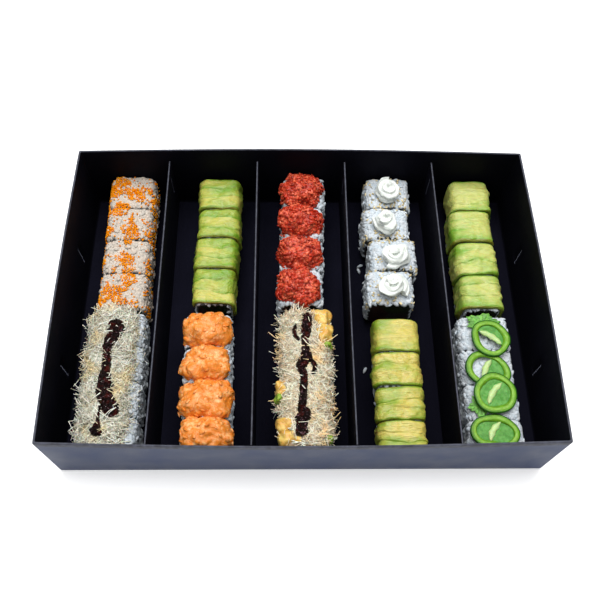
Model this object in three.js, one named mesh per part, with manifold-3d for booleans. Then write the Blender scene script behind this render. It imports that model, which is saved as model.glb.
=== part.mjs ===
// A card sushi tray with five lanes, ten half rolls of four pieces each, and their toppings.
// Millimetres, +Z up, +X to the right, +Y to the back. The origin is at the middle of the underside.
import * as THREE from "three";
import { mergeVertices } from "three/addons/utils/BufferGeometryUtils.js";
import Module from "manifold-3d";

const wasm = await Module();
wasm.setup();
const { Manifold, Mesh: SolidMesh } = wasm;

// Driving dimensions of the tray
const TRAY_WIDTH = 350;
const TRAY_DEPTH = 238;
const TRAY_HEIGHT = 66;
const WALL = 1.6;
const FLOOR = 1.4;
const RIM_BOW = 3.2; // how far the rim of each wall leans out halfway along it
const LANES = 5;
const LANE_PITCH = TRAY_WIDTH / LANES;

// The dividers are folded card panels that stand from wall to wall
const DIVIDER_HEIGHT = 56;
const DIVIDER_THICKNESS = 1.4;
const DIVIDER_CLEARANCE = 0.4;

// Narrow cuts in the card, where the folded panels lock
const SLIT = { width: 1.0, height: 19 };
const WALL_SLIT_AT = { y: [46, -52], z: 18 };
const DIVIDER_SLIT_AT = { fromBack: 11, z: 28 };

// The rice rolls: rounded squares in section, cut across into pieces
const ROLL_WIDTH = 37;
const ROLL_HEIGHT = 35;
const ROLL_SQUARENESS = 3.4; // 2 is an ellipse, larger is squarer
const PIECE_GAP = 0.6;
const REST_GAP = 0.1;
const RICE_BUMP = 0.7;
const GRAIN_SIZE = 5;
const BACK_ROW = { start: 116.5, pieces: [29.3, 29.6, 29.4, 29.2] };
const FRONT_ROW = { start: -10, pieces: [27, 28, 27, 23] };

const colours = {
  card: { color: "#15161c", roughness: 0.55 },
  rice: { color: "#e4e1d8", roughness: 0.5 },
  roe: { color: "#f0841c", roughness: 0.3 },
  avocado: { color: "#a9bf45", roughness: 0.45 },
  redFish: { color: "#b8301c", roughness: 0.35 },
  salmon: { color: "#ee8240", roughness: 0.35 },
  cream: { color: "#eef0e8", roughness: 0.4 },
  shreds: { color: "#dccfa0", roughness: 0.6 },
  pepper: { color: "#5ea02c", roughness: 0.25 },
  herb: { color: "#3f8f35", roughness: 0.5 },
};

const tau = 2 * Math.PI;
const clamp = (value, low, high) => Math.min(high, Math.max(low, value));
const mix = (a, b, share) => a + (b - a) * share;

// A repeatable stream of numbers from 0 to 1
function randomStream(seed) {
  let state = seed >>> 0;
  return () => {
    state = (state + 0x6d2b79f5) >>> 0;
    let t = state;
    t = Math.imul(t ^ (t >>> 15), t | 1);
    t ^= t + Math.imul(t ^ (t >>> 7), t | 61);
    return ((t ^ (t >>> 14)) >>> 0) / 4294967296;
  };
}

// Smooth relief from -1 to 1 at the scale of one unit
function relief(x, y, z) {
  const a = Math.sin(x * 2.1 + Math.sin(y * 1.7 + 0.6) * 1.3 + z * 0.9);
  const b = Math.sin(y * 2.4 + Math.sin(z * 1.9 + 1.4) * 1.2 + x * 0.8);
  const c = Math.sin(z * 2.6 + Math.sin(x * 2.2 + 2.3) * 1.1 + y * 1.1);
  return (a + b + c) / 3;
}

// A closed surface through rings of points, with a fan of triangles at each end
function loft(rings) {
  const count = rings[0].length;
  const positions = rings.flat().flatMap((p) => [p.x, p.y, p.z]);
  const middle = (ring) =>
    ring.reduce((sum, p) => sum.add(p), new THREE.Vector3()).divideScalar(count);
  const first = rings.length * count;
  for (const ring of [rings[0], rings[rings.length - 1]]) positions.push(...middle(ring).toArray());
  const faces = [];
  for (let r = 0; r + 1 < rings.length; r++)
    for (let i = 0; i < count; i++) {
      const j = (i + 1) % count;
      const [a, b, c, d] = [r * count + i, r * count + j, (r + 1) * count + j, (r + 1) * count + i];
      faces.push(a, b, c, a, c, d);
    }
  for (let i = 0; i < count; i++) {
    const j = (i + 1) % count;
    const last = (rings.length - 1) * count;
    faces.push(first, j, i, first + 1, last + i, last + j);
  }
  const geometry = new THREE.BufferGeometry();
  geometry.setAttribute("position", new THREE.Float32BufferAttribute(positions, 3));
  geometry.setIndex(faces);
  return geometry;
}

// A three.js geometry as a solid that can be cut and joined. It comes out facing outwards.
function solid(source) {
  const geometry = source.index ? source.toNonIndexed() : source.clone();
  for (const name of ["normal", "uv"]) geometry.deleteAttribute(name);
  const merged = mergeVertices(geometry, 1e-4);
  const triVerts = new Uint32Array(merged.index.array);
  const vertProperties = new Float32Array(merged.attributes.position.array);
  const made = new Manifold(new SolidMesh({ numProp: 3, vertProperties, triVerts }));
  if (made.volume() > 0) return made;
  for (let i = 0; i < triVerts.length; i += 3)
    [triVerts[i + 1], triVerts[i + 2]] = [triVerts[i + 2], triVerts[i + 1]];
  return new Manifold(new SolidMesh({ numProp: 3, vertProperties, triVerts }));
}

// A solid back as a three.js geometry. Of several bodies the largest is kept.
function geometryOf(shape) {
  const bodies = shape.decompose().sort((a, b) => b.volume() - a.volume());
  const mesh = bodies[0].getMesh();
  const positions = [];
  for (let i = 0; i < mesh.numVert; i++)
    positions.push(...mesh.vertProperties.slice(i * mesh.numProp, i * mesh.numProp + 3));
  const geometry = new THREE.BufferGeometry();
  geometry.setAttribute("position", new THREE.Float32BufferAttribute(positions, 3));
  geometry.setIndex([...mesh.triVerts]);
  return geometry;
}

function block(size, centre) {
  const geometry = new THREE.BoxGeometry(size.x, size.y, size.z);
  geometry.translate(centre.x, centre.y, centre.z);
  return solid(geometry);
}

const materials = Object.fromEntries(
  Object.entries(colours).map(([name, look]) => [
    name,
    new THREE.MeshStandardMaterial({ ...look, metalness: 0, flatShading: true, name }),
  ]),
);

const tray = new THREE.Group();

function addNode(name, geometry, material, place = {}) {
  const mesh = new THREE.Mesh(geometry, materials[material]);
  mesh.name = name;
  mesh.position.set(place.x ?? 0, place.y ?? 0, place.z ?? 0);
  mesh.rotation.z = place.turn ?? 0;
  tray.add(mesh);
  return mesh;
}

// Tray: a rectangle of card whose rim bows out between the corners
function trayOutline(inset, z) {
  const steps = { long: 10, short: 6 };
  const halfX = TRAY_WIDTH / 2 - inset;
  const halfY = TRAY_DEPTH / 2 - inset;
  const bow = RIM_BOW * (z / TRAY_HEIGHT) ** 1.5;
  const bulge = (t) => bow * Math.sin(Math.PI * t);
  const points = [];
  for (let i = 0; i < steps.long; i++) {
    const t = i / steps.long;
    points.push(new THREE.Vector3(mix(-halfX, halfX, t), -halfY - bulge(t), z));
  }
  for (let i = 0; i < steps.short; i++) {
    const t = i / steps.short;
    points.push(new THREE.Vector3(halfX + 0.5 * bulge(t), mix(-halfY, halfY, t), z));
  }
  for (let i = 0; i < steps.long; i++) {
    const t = i / steps.long;
    points.push(new THREE.Vector3(mix(halfX, -halfX, t), halfY + bulge(t), z));
  }
  for (let i = 0; i < steps.short; i++) {
    const t = i / steps.short;
    points.push(new THREE.Vector3(-halfX - 0.5 * bulge(t), mix(halfY, -halfY, t), z));
  }
  return points;
}

function traySolid() {
  const above = 1;
  const levels = [0, 0.5, 1].map((share) => share * TRAY_HEIGHT);
  const outside = solid(loft(levels.map((z) => trayOutline(0, z))));
  const insideLevels = [FLOOR, TRAY_HEIGHT / 2, TRAY_HEIGHT, TRAY_HEIGHT + above];
  let shape = outside.subtract(solid(loft(insideLevels.map((z) => trayOutline(WALL, z)))));
  for (const side of [-1, 1])
    for (const y of WALL_SLIT_AT.y) {
      const size = new THREE.Vector3(12, SLIT.width, SLIT.height);
      const centre = new THREE.Vector3((side * TRAY_WIDTH) / 2, y, WALL_SLIT_AT.z + SLIT.height / 2);
      shape = shape.subtract(block(size, centre));
    }
  return shape;
}

function dividerSolid() {
  const length = TRAY_DEPTH - 2 * WALL - 2 * DIVIDER_CLEARANCE;
  const panel = block(
    new THREE.Vector3(DIVIDER_THICKNESS, length, DIVIDER_HEIGHT - FLOOR - REST_GAP),
    new THREE.Vector3(0, 0, (DIVIDER_HEIGHT - FLOOR - REST_GAP) / 2),
  );
  const slit = block(
    new THREE.Vector3(2 * DIVIDER_THICKNESS, SLIT.width, SLIT.height),
    new THREE.Vector3(0, length / 2 - DIVIDER_SLIT_AT.fromBack, DIVIDER_SLIT_AT.z + SLIT.height / 2),
  );
  return panel.subtract(slit);
}

// One ring of a roll: a rounded square standing on its flat base, at distance y along the roll.
// lift(side, x, z) is how far the surface stands out, and side runs from 0 at the base to 1 on top.
function rollRing({ width, height, y, shrink = 1, segments = 16, lift = () => 0 }) {
  const points = [];
  const flat = 0.9;
  for (let i = 0; i < segments; i++) {
    const angle = -Math.PI / 2 + (tau * (i + 0.5)) / segments;
    const round = (v) => Math.sign(v) * Math.abs(v) ** (2 / ROLL_SQUARENESS);
    const [cx, cz] = [round(Math.cos(angle)), round(Math.sin(angle))];
    const side = (Math.sin(angle) + 1) / 2;
    const out = side > 0.1 ? lift(side, cx, cz) : 0;
    const x = cx * ((width / 2) * shrink + out);
    const z = height / 2 + cz * ((height / 2) * shrink + out);
    points.push(new THREE.Vector3(x, y, z < flat ? 0 : z));
  }
  return points;
}

// The distances along a piece at which rings stand, as shares of its length, and how small each is
const RICE_RINGS = [
  [0, 0.9],
  [0.1, 1],
  [0.5, 1],
  [0.9, 1],
  [1, 0.9],
];

function riceSolid(piece) {
  const rings = RICE_RINGS.map(([share, shrink]) => {
    const y = piece.length * (share - 0.5);
    const lift = (side, x, z) =>
      RICE_BUMP * relief((x * piece.width) / GRAIN_SIZE, (y + piece.seed * 31) / GRAIN_SIZE, z * 3);
    return rollRing({ width: piece.width, height: piece.height, y, shrink, segments: piece.segments, lift });
  });
  return solid(loft(rings));
}

// Avocado slices lie across the piece, one behind the next, over its top and down its sides
const AVOCADO = { thickness: 3, slices: 3, groove: 1.4, hemSide: 0.3 };

function avocadoPieceSolid(piece) {
  const rings = [];
  const perSlice = 2;
  const total = AVOCADO.slices * perSlice;
  for (let i = 0; i <= total; i++) {
    const share = i / total;
    const y = piece.length * (share - 0.5);
    const inGroove = i % perSlice === 0;
    const end = i === 0 || i === total;
    const lift = (side, x) => {
      const wave = 0.5 * relief(x * 2 + piece.seed, (i * 7) / GRAIN_SIZE, side * 2);
      const slab = AVOCADO.thickness - (inGroove ? AVOCADO.groove : 0) + wave;
      return side > AVOCADO.hemSide ? slab : 0;
    };
    const shrink = end ? 0.92 : 1;
    rings.push(
      rollRing({ width: piece.width, height: piece.height, y, shrink, segments: piece.segments, lift }),
    );
  }
  return solid(loft(rings));
}

// A lump of chopped fish heaped on the rice, as rings of a bumpy dome
const MOUND = { rise: 13, sink: 8, lump: 1.5, around: 12 };

function moundSolid(piece) {
  const halfX = piece.moundWidth / 2;
  const halfY = piece.length / 2;
  const levels = [-0.95, -0.5, 0, 0.5, 0.9];
  const rings = levels.map((level) => {
    const points = [];
    for (let i = 0; i < MOUND.around; i++) {
      const angle = (tau * i) / MOUND.around;
      const reach = Math.sqrt(1 - level * level);
      const height = level > 0 ? MOUND.rise : MOUND.sink;
      const lump = 1 + (MOUND.lump / halfX) * relief(angle * 2.1 + piece.seed * 5, level * 3, piece.seed);
      const x = halfX * reach * Math.cos(angle) * lump;
      const y = clamp(1.15 * halfY * reach * Math.sin(angle) * lump, -halfY, halfY);
      points.push(new THREE.Vector3(x, y, piece.height - 1 + level * height * lump));
    }
    return points;
  });
  return solid(loft(rings));
}

const moundPieceSolid = (piece) => riceSolid(piece).add(moundSolid(piece));

// The rolls, lane by lane. x is how far the middle of the roll lies to the right of the middle of
// its lane, and shifts move its pieces on their own.
const rolls = [
  {
    name: "roe_roll",
    lane: 0,
    kind: "rice",
    material: "roe",
    row: { start: 117, pieces: [30.5, 30.5, 30.5, 30.5] },
    x: 2.5,
    shifts: [0, 0, 0.8, 1],
  },
  {
    name: "avocado_roll_left",
    lane: 1,
    kind: "avocado",
    material: "avocado",
    row: { start: 114.6, pieces: [29.4, 27.4, 28.4, 30.4] },
    width: 36,
    x: 3.8,
    shifts: [0, 0.6, -0.8, -1.2],
  },
  {
    name: "red_roll",
    lane: 2,
    kind: "mound",
    material: "redFish",
    row: { start: 117, pieces: [29.5, 29.5, 29, 31] },
    width: 38,
    moundWidth: 38,
    x: 0.8,
    shifts: [1.4, 0.4, -0.6, -2],
  },
  { name: "cream_roll", lane: 3, kind: "rice", material: "rice", width: 38, x: 0, shifts: [1, -1.7, 2.2, -2] },
  {
    name: "avocado_roll_right",
    lane: 4,
    kind: "avocado",
    material: "avocado",
    row: { start: 114.4, pieces: [30, 30.4, 29.8, 29.6] },
    width: 36.5,
    x: -2,
    shifts: [1.6, -1, -0.5, 0],
  },
  {
    name: "crisp_roll_left",
    lane: 0,
    kind: "rice",
    material: "rice",
    row: { start: -9, pieces: [27, 27, 27, 25] },
    x: 5.5,
    shifts: [-0.5, 0.3, 0, 0.5],
  },
  {
    name: "salmon_roll",
    lane: 1,
    kind: "mound",
    material: "salmon",
    row: FRONT_ROW,
    width: 39,
    moundWidth: 40,
    x: 1,
    shifts: [-1, -0.6, 0.8, 1.4],
  },
  { name: "crisp_roll_middle", lane: 2, kind: "rice", material: "rice", row: FRONT_ROW, width: 35, x: 1.5 },
  {
    name: "avocado_roll_front",
    lane: 3,
    kind: "avocado",
    material: "avocado",
    row: { start: -13.8, pieces: [26.6, 27.1, 26, 22] },
    width: 38,
    x: -0.6,
    shifts: [0.8, -0.6, 0.3, 0],
  },
  {
    name: "pepper_roll",
    lane: 4,
    kind: "rice",
    material: "rice",
    row: { start: -12, pieces: [27, 27, 27, 22] },
    width: 40,
    x: -4.4,
  },
];

const pieceMakers = { rice: riceSolid, avocado: avocadoPieceSolid, mound: moundPieceSolid };
const laneCentre = (lane) => (lane - (LANES - 1) / 2) * LANE_PITCH;

// The pieces of one roll, each with its size and its place in the tray
function piecesOf(roll, rollIndex) {
  const row = roll.row ?? BACK_ROW;
  const cover = roll.kind === "avocado" ? AVOCADO.thickness : 0;
  let end = row.start;
  return row.pieces.map((pitch, i) => {
    end -= pitch;
    return {
      seed: rollIndex * 4 + i + 1,
      length: pitch - PIECE_GAP,
      width: (roll.width ?? ROLL_WIDTH) - 2 * cover,
      height: ROLL_HEIGHT - cover / 2,
      moundWidth: roll.moundWidth,
      segments: roll.kind === "mound" ? 14 : 16,
      x: laneCentre(roll.lane) + roll.x + (roll.shifts?.[i] ?? 0),
      y: end + pitch / 2,
      z: FLOOR + REST_GAP,
    };
  });
}

// The long lump of fried shreds over a roll, with loose shreds on it and a line of thick sauce
const HEAP = { thickness: 6, hem: 22, clearance: 1.6, stations: 8, around: 12 };
const SHRED = { count: 26, width: 0.9, length: [8, 14], lift: 2.6, overhang: 3 };
const SAUCE = { width: 6.5, height: 2.6, sides: 6, stations: 11, sway: 3 };

function heapRing(heap, y, endShrink) {
  const points = [];
  for (let i = 0; i < HEAP.around; i++) {
    const angle = -Math.PI / 2 + (tau * (i + 0.5)) / HEAP.around;
    const bump = 1.2 * relief(angle * 2 + heap.seed, y / 7, heap.seed);
    const halfX = (heap.width / 2 + bump) * endShrink;
    const top = ROLL_HEIGHT + HEAP.thickness + bump - (1 - endShrink) * 8;
    const round = (v) => Math.sign(v) * Math.abs(v) ** 0.7;
    const rise = (round(Math.sin(angle)) + 1) / 2;
    const x = heap.offset + round(Math.cos(angle)) * halfX;
    points.push(new THREE.Vector3(x, y, mix(HEAP.hem, top, rise)));
  }
  return points;
}

// One thin shred: a bent three-sided stick through three points
function shredSolid(points, width) {
  const rings = points.map((point, i) => {
    const next = points[Math.min(i + 1, points.length - 1)];
    const before = points[Math.max(i - 1, 0)];
    const along = next.clone().sub(before).normalize();
    const across = new THREE.Vector3(0, 0, 1).cross(along).normalize();
    const up = along.clone().cross(across);
    return [0, 1, 2].map((corner) => {
      const angle = (tau * corner) / 3 + 0.5;
      const offset = across.clone().multiplyScalar(Math.cos(angle) * width * 0.58);
      return point.clone().add(offset).add(up.clone().multiplyScalar(Math.sin(angle) * width * 0.58));
    });
  });
  return solid(loft(rings));
}

function sauceSolid(heap) {
  const rings = [];
  const reach = heap.length / 2 - 9;
  for (let i = 0; i < SAUCE.stations; i++) {
    const t = i / (SAUCE.stations - 1);
    const y = mix(reach, -reach, t);
    const x = heap.offset + SAUCE.sway * Math.sin(t * 7 + heap.seed) + heap.sauceLean * (t - 0.5);
    const swell = (0.75 + 0.35 * Math.sin(t * 17 + heap.seed)) * (i % (SAUCE.stations - 1) ? 1 : 0.4);
    const top = ROLL_HEIGHT + HEAP.thickness + 0.4;
    rings.push(
      Array.from({ length: SAUCE.sides }, (_, k) => {
        const angle = (tau * k) / SAUCE.sides;
        const across = (SAUCE.width / 2) * swell * Math.cos(angle);
        return new THREE.Vector3(x + across, y, top + SAUCE.height * Math.sin(angle));
      }),
    );
  }
  return solid(loft(rings));
}

function heapSolid(heap) {
  const random = randomStream(heap.seed * 977);
  const rings = [];
  for (let i = 0; i < HEAP.stations; i++) {
    const share = i / (HEAP.stations - 1);
    const fromEnd = Math.min(share, 1 - share);
    rings.push(heapRing(heap, mix(-heap.length / 2, heap.length / 2, share), fromEnd < 0.01 ? 0.78 : 1));
  }
  let shape = solid(loft(rings));
  for (let i = 0; i < SHRED.count; i++) {
    const y = mix(-0.46, 0.46, (i + random()) / SHRED.count) * heap.length;
    const angle = mix(0.08, 0.92, random()) * Math.PI;
    const rise = Math.sin(angle) ** 0.7;
    const side = Math.sign(Math.cos(angle)) * Math.abs(Math.cos(angle)) ** 0.7;
    const root = new THREE.Vector3(
      heap.offset + side * (heap.width / 2 - 0.8),
      y,
      mix((HEAP.hem + ROLL_HEIGHT) / 2, ROLL_HEIGHT + HEAP.thickness - 0.5, rise),
    );
    const heading = random() * tau;
    const run = mix(SHRED.length[0], SHRED.length[1], random());
    const step = new THREE.Vector3(Math.cos(heading), Math.sin(heading), 0).multiplyScalar(run / 2);
    const roomX = heap.width / 2 + SHRED.overhang;
    const outward = Math.cos(angle);
    const middle = root.clone().add(step);
    middle.x += outward * 1.5;
    middle.z += SHRED.lift * random() + 0.8;
    const tip = middle.clone().add(step.applyAxisAngle(new THREE.Vector3(0, 0, 1), random() - 0.5));
    tip.x += outward * 1.5;
    tip.z -= 1.6 * random();
    for (const p of [middle, tip]) {
      p.x = clamp(p.x, heap.offset - roomX, heap.offset + roomX);
      p.y = clamp(p.y, -heap.length / 2 + 0.5, heap.length / 2 - 0.5);
    }
    shape = shape.add(shredSolid([root, middle, tip], SHRED.width));
  }
  shape = shape.add(sauceSolid(heap));
  const width = heap.under + 2 * HEAP.clearance;
  const height = ROLL_HEIGHT + HEAP.clearance;
  const reach = heap.length / 2 + 2;
  const under = [-reach, reach].map((y) => rollRing({ width, height, y, segments: 16 }));
  return shape.subtract(solid(loft(under)));
}

// A piped swirl of cream: rings that twist as they narrow to a soft tip
const SWIRL = { height: 12, lobes: 6, around: 18, levels: 7, twist: 1.6, ridge: 0.1 };

function swirlGeometry(baseRadius, seed) {
  const rings = [];
  for (let level = 0; level < SWIRL.levels; level++) {
    const t = level / (SWIRL.levels - 1);
    const step = level % 2 ? 1.06 : 0.94;
    const radius = baseRadius * Math.sqrt(1 - 0.97 * t ** 1.4) * step * (level ? 1 : 0.88);
    rings.push(
      Array.from({ length: SWIRL.around }, (_, i) => {
        const angle = (tau * i) / SWIRL.around;
        const ridge = 1 + SWIRL.ridge * Math.cos(SWIRL.lobes * (angle - SWIRL.twist * t) + seed);
        const r = radius * ridge;
        return new THREE.Vector3(r * Math.cos(angle) + 1.2 * t, r * Math.sin(angle), SWIRL.height * t);
      }),
    );
  }
  return loft(rings);
}

// A slice of green pepper: a rim, a rib across the middle and a thin web low in the two hollows
const PEPPER = { thickness: 2.2, rim: 3.4, rib: 3.6, web: 0.8, around: 26 };

function ellipseShape(radiusX, radiusY) {
  return new THREE.Shape().absellipse(0, 0, radiusX, radiusY, 0, tau);
}

function pepperSolid(ring) {
  const disc = (rx, ry, low, high) => {
    const options = { depth: high - low, bevelEnabled: false, curveSegments: PEPPER.around / 2 };
    return solid(new THREE.ExtrudeGeometry(ellipseShape(rx, ry), options).translate(0, 0, low));
  };
  const whole = disc(ring.rx, ring.ry, 0, PEPPER.thickness);
  const hollow = disc(ring.rx - PEPPER.rim, ring.ry - PEPPER.rim, PEPPER.web, PEPPER.thickness + 1);
  const rib = block(
    new THREE.Vector3(PEPPER.rib, 3 * ring.ry, 3 * PEPPER.thickness),
    new THREE.Vector3(0, 0, PEPPER.thickness),
  );
  return whole.subtract(hollow.subtract(rib));
}

// A leaf: a thin wavy blade with a frilled edge, its two faces split into triangles alike
const LEAF = { thickness: 0.6, wave: 0.2, lobes: 5, around: 30, frill: 0.22 };

function leafGeometry(leaf) {
  const face = (z) =>
    Array.from({ length: LEAF.around }, (_, i) => {
      const angle = (tau * i) / LEAF.around;
      const frill = 1 + LEAF.frill * Math.cos(LEAF.lobes * angle) + 0.08 * Math.cos(15 * angle);
      const x = leaf.rx * frill * Math.cos(angle);
      const y = leaf.ry * frill * Math.sin(angle);
      return new THREE.Vector3(x, y, z + LEAF.wave * (1 + Math.sin(x * 0.5 + y * 0.3)));
    });
  return loft([face(0), face(LEAF.thickness)]);
}

// Everything in its place
addNode("tray", geometryOf(traySolid()), "card");
for (let i = 1; i < LANES; i++) {
  const x = laneCentre(i) - LANE_PITCH / 2;
  addNode(`divider_${i}`, geometryOf(dividerSolid()), "card", { x, z: FLOOR + REST_GAP });
}

const placed = {};
rolls.forEach((roll, rollIndex) => {
  placed[roll.name] = piecesOf(roll, rollIndex);
  placed[roll.name].forEach((piece, i) => {
    const shape = pieceMakers[roll.kind](piece);
    addNode(`${roll.name}_${i + 1}`, geometryOf(shape), roll.material, piece);
  });
});

const heaps = [
  { name: "crisp_heap_left", over: "crisp_roll_left", width: 40, offset: -4, seed: 3, sauceLean: 5 },
  { name: "crisp_heap_middle", over: "crisp_roll_middle", width: 38, offset: 0.3, seed: 8, sauceLean: -4 },
];
for (const heap of heaps) {
  const pieces = placed[heap.over];
  const back = pieces[0].y + pieces[0].length / 2;
  const front = pieces[3].y - pieces[3].length / 2;
  const shape = heapSolid({ ...heap, under: pieces[0].width, length: back - front });
  const place = { x: pieces[1].x, y: (back + front) / 2, z: FLOOR + REST_GAP };
  addNode(heap.name, geometryOf(shape), "shreds", place);
}

// Toppings lie just over the highest bumps of the rice beneath them
const toppingHeight = FLOOR + REST_GAP + ROLL_HEIGHT + RICE_BUMP + 0.3;

const swirls = [
  { x: 70.3, y: 99, radius: 10.4 },
  { x: 66.4, y: 70, radius: 9.8 },
  { x: 71.4, y: 39.5, radius: 10.4 },
  { x: 68.7, y: 12, radius: 11.6 },
];
swirls.forEach((swirl, i) => {
  const place = { x: swirl.x, y: swirl.y, z: toppingHeight };
  addNode(`cream_swirl_${i + 1}`, swirlGeometry(swirl.radius, i), "cream", place);
});

// Slices two and four lie on the rice, and slices one and three rest on them
const slices = [
  { x: 138.2, y: -32.2, rx: 14.4, ry: 15.4, lift: 2.5, tilt: -0.03, turn: 0.5 },
  { x: 133.6, y: -56.2, rx: 17.2, ry: 14, lift: 0, tilt: 0, turn: -0.4 },
  { x: 136, y: -75.4, rx: 15.6, ry: 16, lift: 2.8, tilt: 0.02, turn: -0.7 },
  { x: 133.1, y: -103, rx: 17.8, ry: 13, lift: 0, tilt: 0, turn: -0.1 },
];
slices.forEach((slice, i) => {
  const place = { x: slice.x, y: slice.y, z: toppingHeight + slice.lift, turn: slice.turn };
  const mesh = addNode(`pepper_slice_${i + 1}`, geometryOf(pepperSolid(slice)), "pepper", place);
  mesh.rotation.x = slice.tilt;
});

const leaves = [
  { x: 133.5, y: -17.5, rx: 8.5, ry: 4.2 },
  { x: 125, y: -83.5, rx: 5, ry: 5.2 },
];
leaves.forEach((leaf, i) => {
  const place = { x: leaf.x, y: leaf.y, z: toppingHeight };
  addNode(`herb_leaf_${i + 1}`, leafGeometry(leaf), "herb", place);
});

export default tray;
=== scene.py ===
"""Dresses the card tray and its rolls with rice, roe, avocado, fish, cream, fried shreds, pepper and herbs.
All is in metres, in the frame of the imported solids. Sizes given in millimetres are multiplied by MM."""

import math
import random

import bmesh
import bpy
from bpy.props import FloatProperty, FloatVectorProperty, IntProperty, PointerProperty
from mathutils import Matrix, Vector, noise
from mathutils.bvhtree import BVHTree


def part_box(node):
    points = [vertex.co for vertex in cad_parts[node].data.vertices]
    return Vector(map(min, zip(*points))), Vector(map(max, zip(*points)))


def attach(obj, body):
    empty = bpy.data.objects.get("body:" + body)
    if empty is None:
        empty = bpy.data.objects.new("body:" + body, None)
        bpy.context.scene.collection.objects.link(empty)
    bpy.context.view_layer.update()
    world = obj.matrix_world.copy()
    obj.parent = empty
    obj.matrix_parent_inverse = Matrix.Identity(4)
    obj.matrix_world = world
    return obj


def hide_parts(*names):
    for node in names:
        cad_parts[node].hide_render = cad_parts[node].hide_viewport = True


bl_info = {
    "name": "Takeaway sushi tray",
    "version": (1, 0, 0),
    "blender": (4, 5, 0),
    "location": "View3D > Sidebar > Sushi tray",
    "description": "Dresses a card tray of topped rice rolls",
    "category": "Object",
}

MM = 0.001
TAU = 2 * math.pi
BODY = "root"
DIVIDERS = 4
# Cut pieces in each roll
PIECES = 4

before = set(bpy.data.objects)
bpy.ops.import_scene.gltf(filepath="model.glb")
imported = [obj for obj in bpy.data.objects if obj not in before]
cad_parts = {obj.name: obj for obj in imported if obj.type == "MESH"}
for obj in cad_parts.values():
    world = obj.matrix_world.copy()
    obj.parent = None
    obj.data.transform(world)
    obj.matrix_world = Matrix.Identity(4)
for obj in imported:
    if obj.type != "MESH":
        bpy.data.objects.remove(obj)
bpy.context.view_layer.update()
tray_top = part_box("tray")[1][2]


def linear(hex_colour):
    """An sRGB hex colour as linear red, green and blue."""
    channels = [int(hex_colour[i : i + 2], 16) / 255 for i in (1, 3, 5)]
    return tuple(c / 12.92 if c <= 0.04045 else ((c + 0.055) / 1.055) ** 2.4 for c in channels)


def length_of(name, text, millimetres):
    return FloatProperty(name=name, description=text, default=millimetres * MM, unit="LENGTH", precision=5)


def colour_of(name, text, hex_colour):
    return FloatVectorProperty(
        name=name, description=text, subtype="COLOR", size=3, min=0, max=1, default=linear(hex_colour)
    )


def angle_of(name, text, degrees):
    return FloatProperty(name=name, description=text, default=math.radians(degrees), unit="ROTATION")


class TraySizes(bpy.types.PropertyGroup):
    width: length_of("Width", "Length of the front wall", 350)
    depth: length_of("Depth", "From the front wall to the back wall", 238)
    wall: length_of("Wall", "Thickness of the folded double wall", 1.6)
    floor: length_of("Floor", "Thickness of the floor", 1.4)
    bow: length_of("Rim bow", "How far the rim leans out halfway along the front wall", 3.2)
    fold: length_of("Fold radius", "Rounding of the folded rim", 0.7)
    slit: length_of("Slit length", "Length of the locking slits", 19)
    slit_width: length_of("Slit width", "Width of the locking slits", 1.0)
    card: colour_of("Card", "Black print on the card", "#0a0a10")
    # The outer face is lifted from black to bluish grey: painted reflection
    outside_with_painted_sheen: colour_of("Outside", "Outer face of the card, lifted to bluish grey as painted reflection", "#27304c")
    raw_edge: colour_of("Raw edge", "Cut edge of the card", "#72768a")


class RollSizes(bpy.types.PropertyGroup):
    height: length_of("Height", "Height of the rice", 35)
    squareness: FloatProperty(name="Squareness", description="2 is round, larger is squarer", default=5.4)
    grain_length: length_of("Grain length", "Length of a cooked grain", 5.6)
    grain_width: length_of("Grain width", "Width of a cooked grain", 3.3)
    grain_spacing: length_of("Grain spacing", "Least distance between grains", 1.9)
    rice: colour_of("Rice", "Cooked rice", "#cdd2d6")
    seaweed: colour_of("Seaweed", "Dry seaweed sheet", "#10140f")


class ToppingSizes(bpy.types.PropertyGroup):
    roe_diameter: length_of("Roe", "Diameter of an egg", 1.55)
    sesame_length: length_of("Sesame", "Length of a seed", 3)
    avocado_slice: length_of("Avocado slice", "Thickness of a slice", 2.6)
    avocado_slices: IntProperty(name="Slices", description="Avocado slices on a piece", default=3)
    fish_bit: length_of("Fish bit", "Size of a chopped bit of fish", 2.9)
    shred_length: length_of("Shred length", "Length of a fried shred", 17)
    shred_width: length_of("Shred width", "Width of a fried shred", 0.52)
    roe: colour_of("Roe", "Flying fish roe", "#e58800")
    avocado_green: colour_of("Avocado green", "Flesh next to the skin", "#74a022")
    avocado_yellow: colour_of("Avocado yellow", "Flesh next to the stone", "#bfbc56")
    red_fish: colour_of("Red fish", "Chopped tuna", "#c73a20")
    salmon: colour_of("Salmon", "Chopped salmon", "#df822b")
    cream: colour_of("Cream", "Piped cream cheese", "#e4e9e3")
    shreds: colour_of("Shreds", "Fried shreds", "#e6e1cd")
    sauce: colour_of("Sauce", "Thick sweet soy sauce", "#120605")
    pepper_skin: colour_of("Pepper skin", "Skin of the green pepper", "#2b6210")
    pepper_flesh: colour_of("Pepper flesh", "Flesh of the green pepper", "#659822")
    pepper_rib: colour_of("Pepper rib", "Pale rib across a slice", "#b6d089")
    herb: colour_of("Herb", "Coriander leaf", "#609a3b")


class StageSizes(bpy.types.PropertyGroup):
    lens: FloatProperty(name="Lens", description="Focal length in millimetres", default=42.47)
    distance: length_of("Distance", "From the target", 565.3)
    elevation: angle_of("Elevation", "Above the horizon", 64.16)
    azimuth: angle_of("Azimuth", "From straight ahead", -2.868)
    roll: angle_of("Roll", "Turn about the view line", 2.613)
    shift: FloatProperty(name="Shift", description="Vertical shift of the frame", default=0.05)
    target: FloatVectorProperty(
        name="Target", description="Where the camera looks", default=(-0.0008, -0.0059, 0), subtype="XYZ"
    )
    backdrop: colour_of("Backdrop", "Pale floor", "#f7f7f7")


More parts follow.
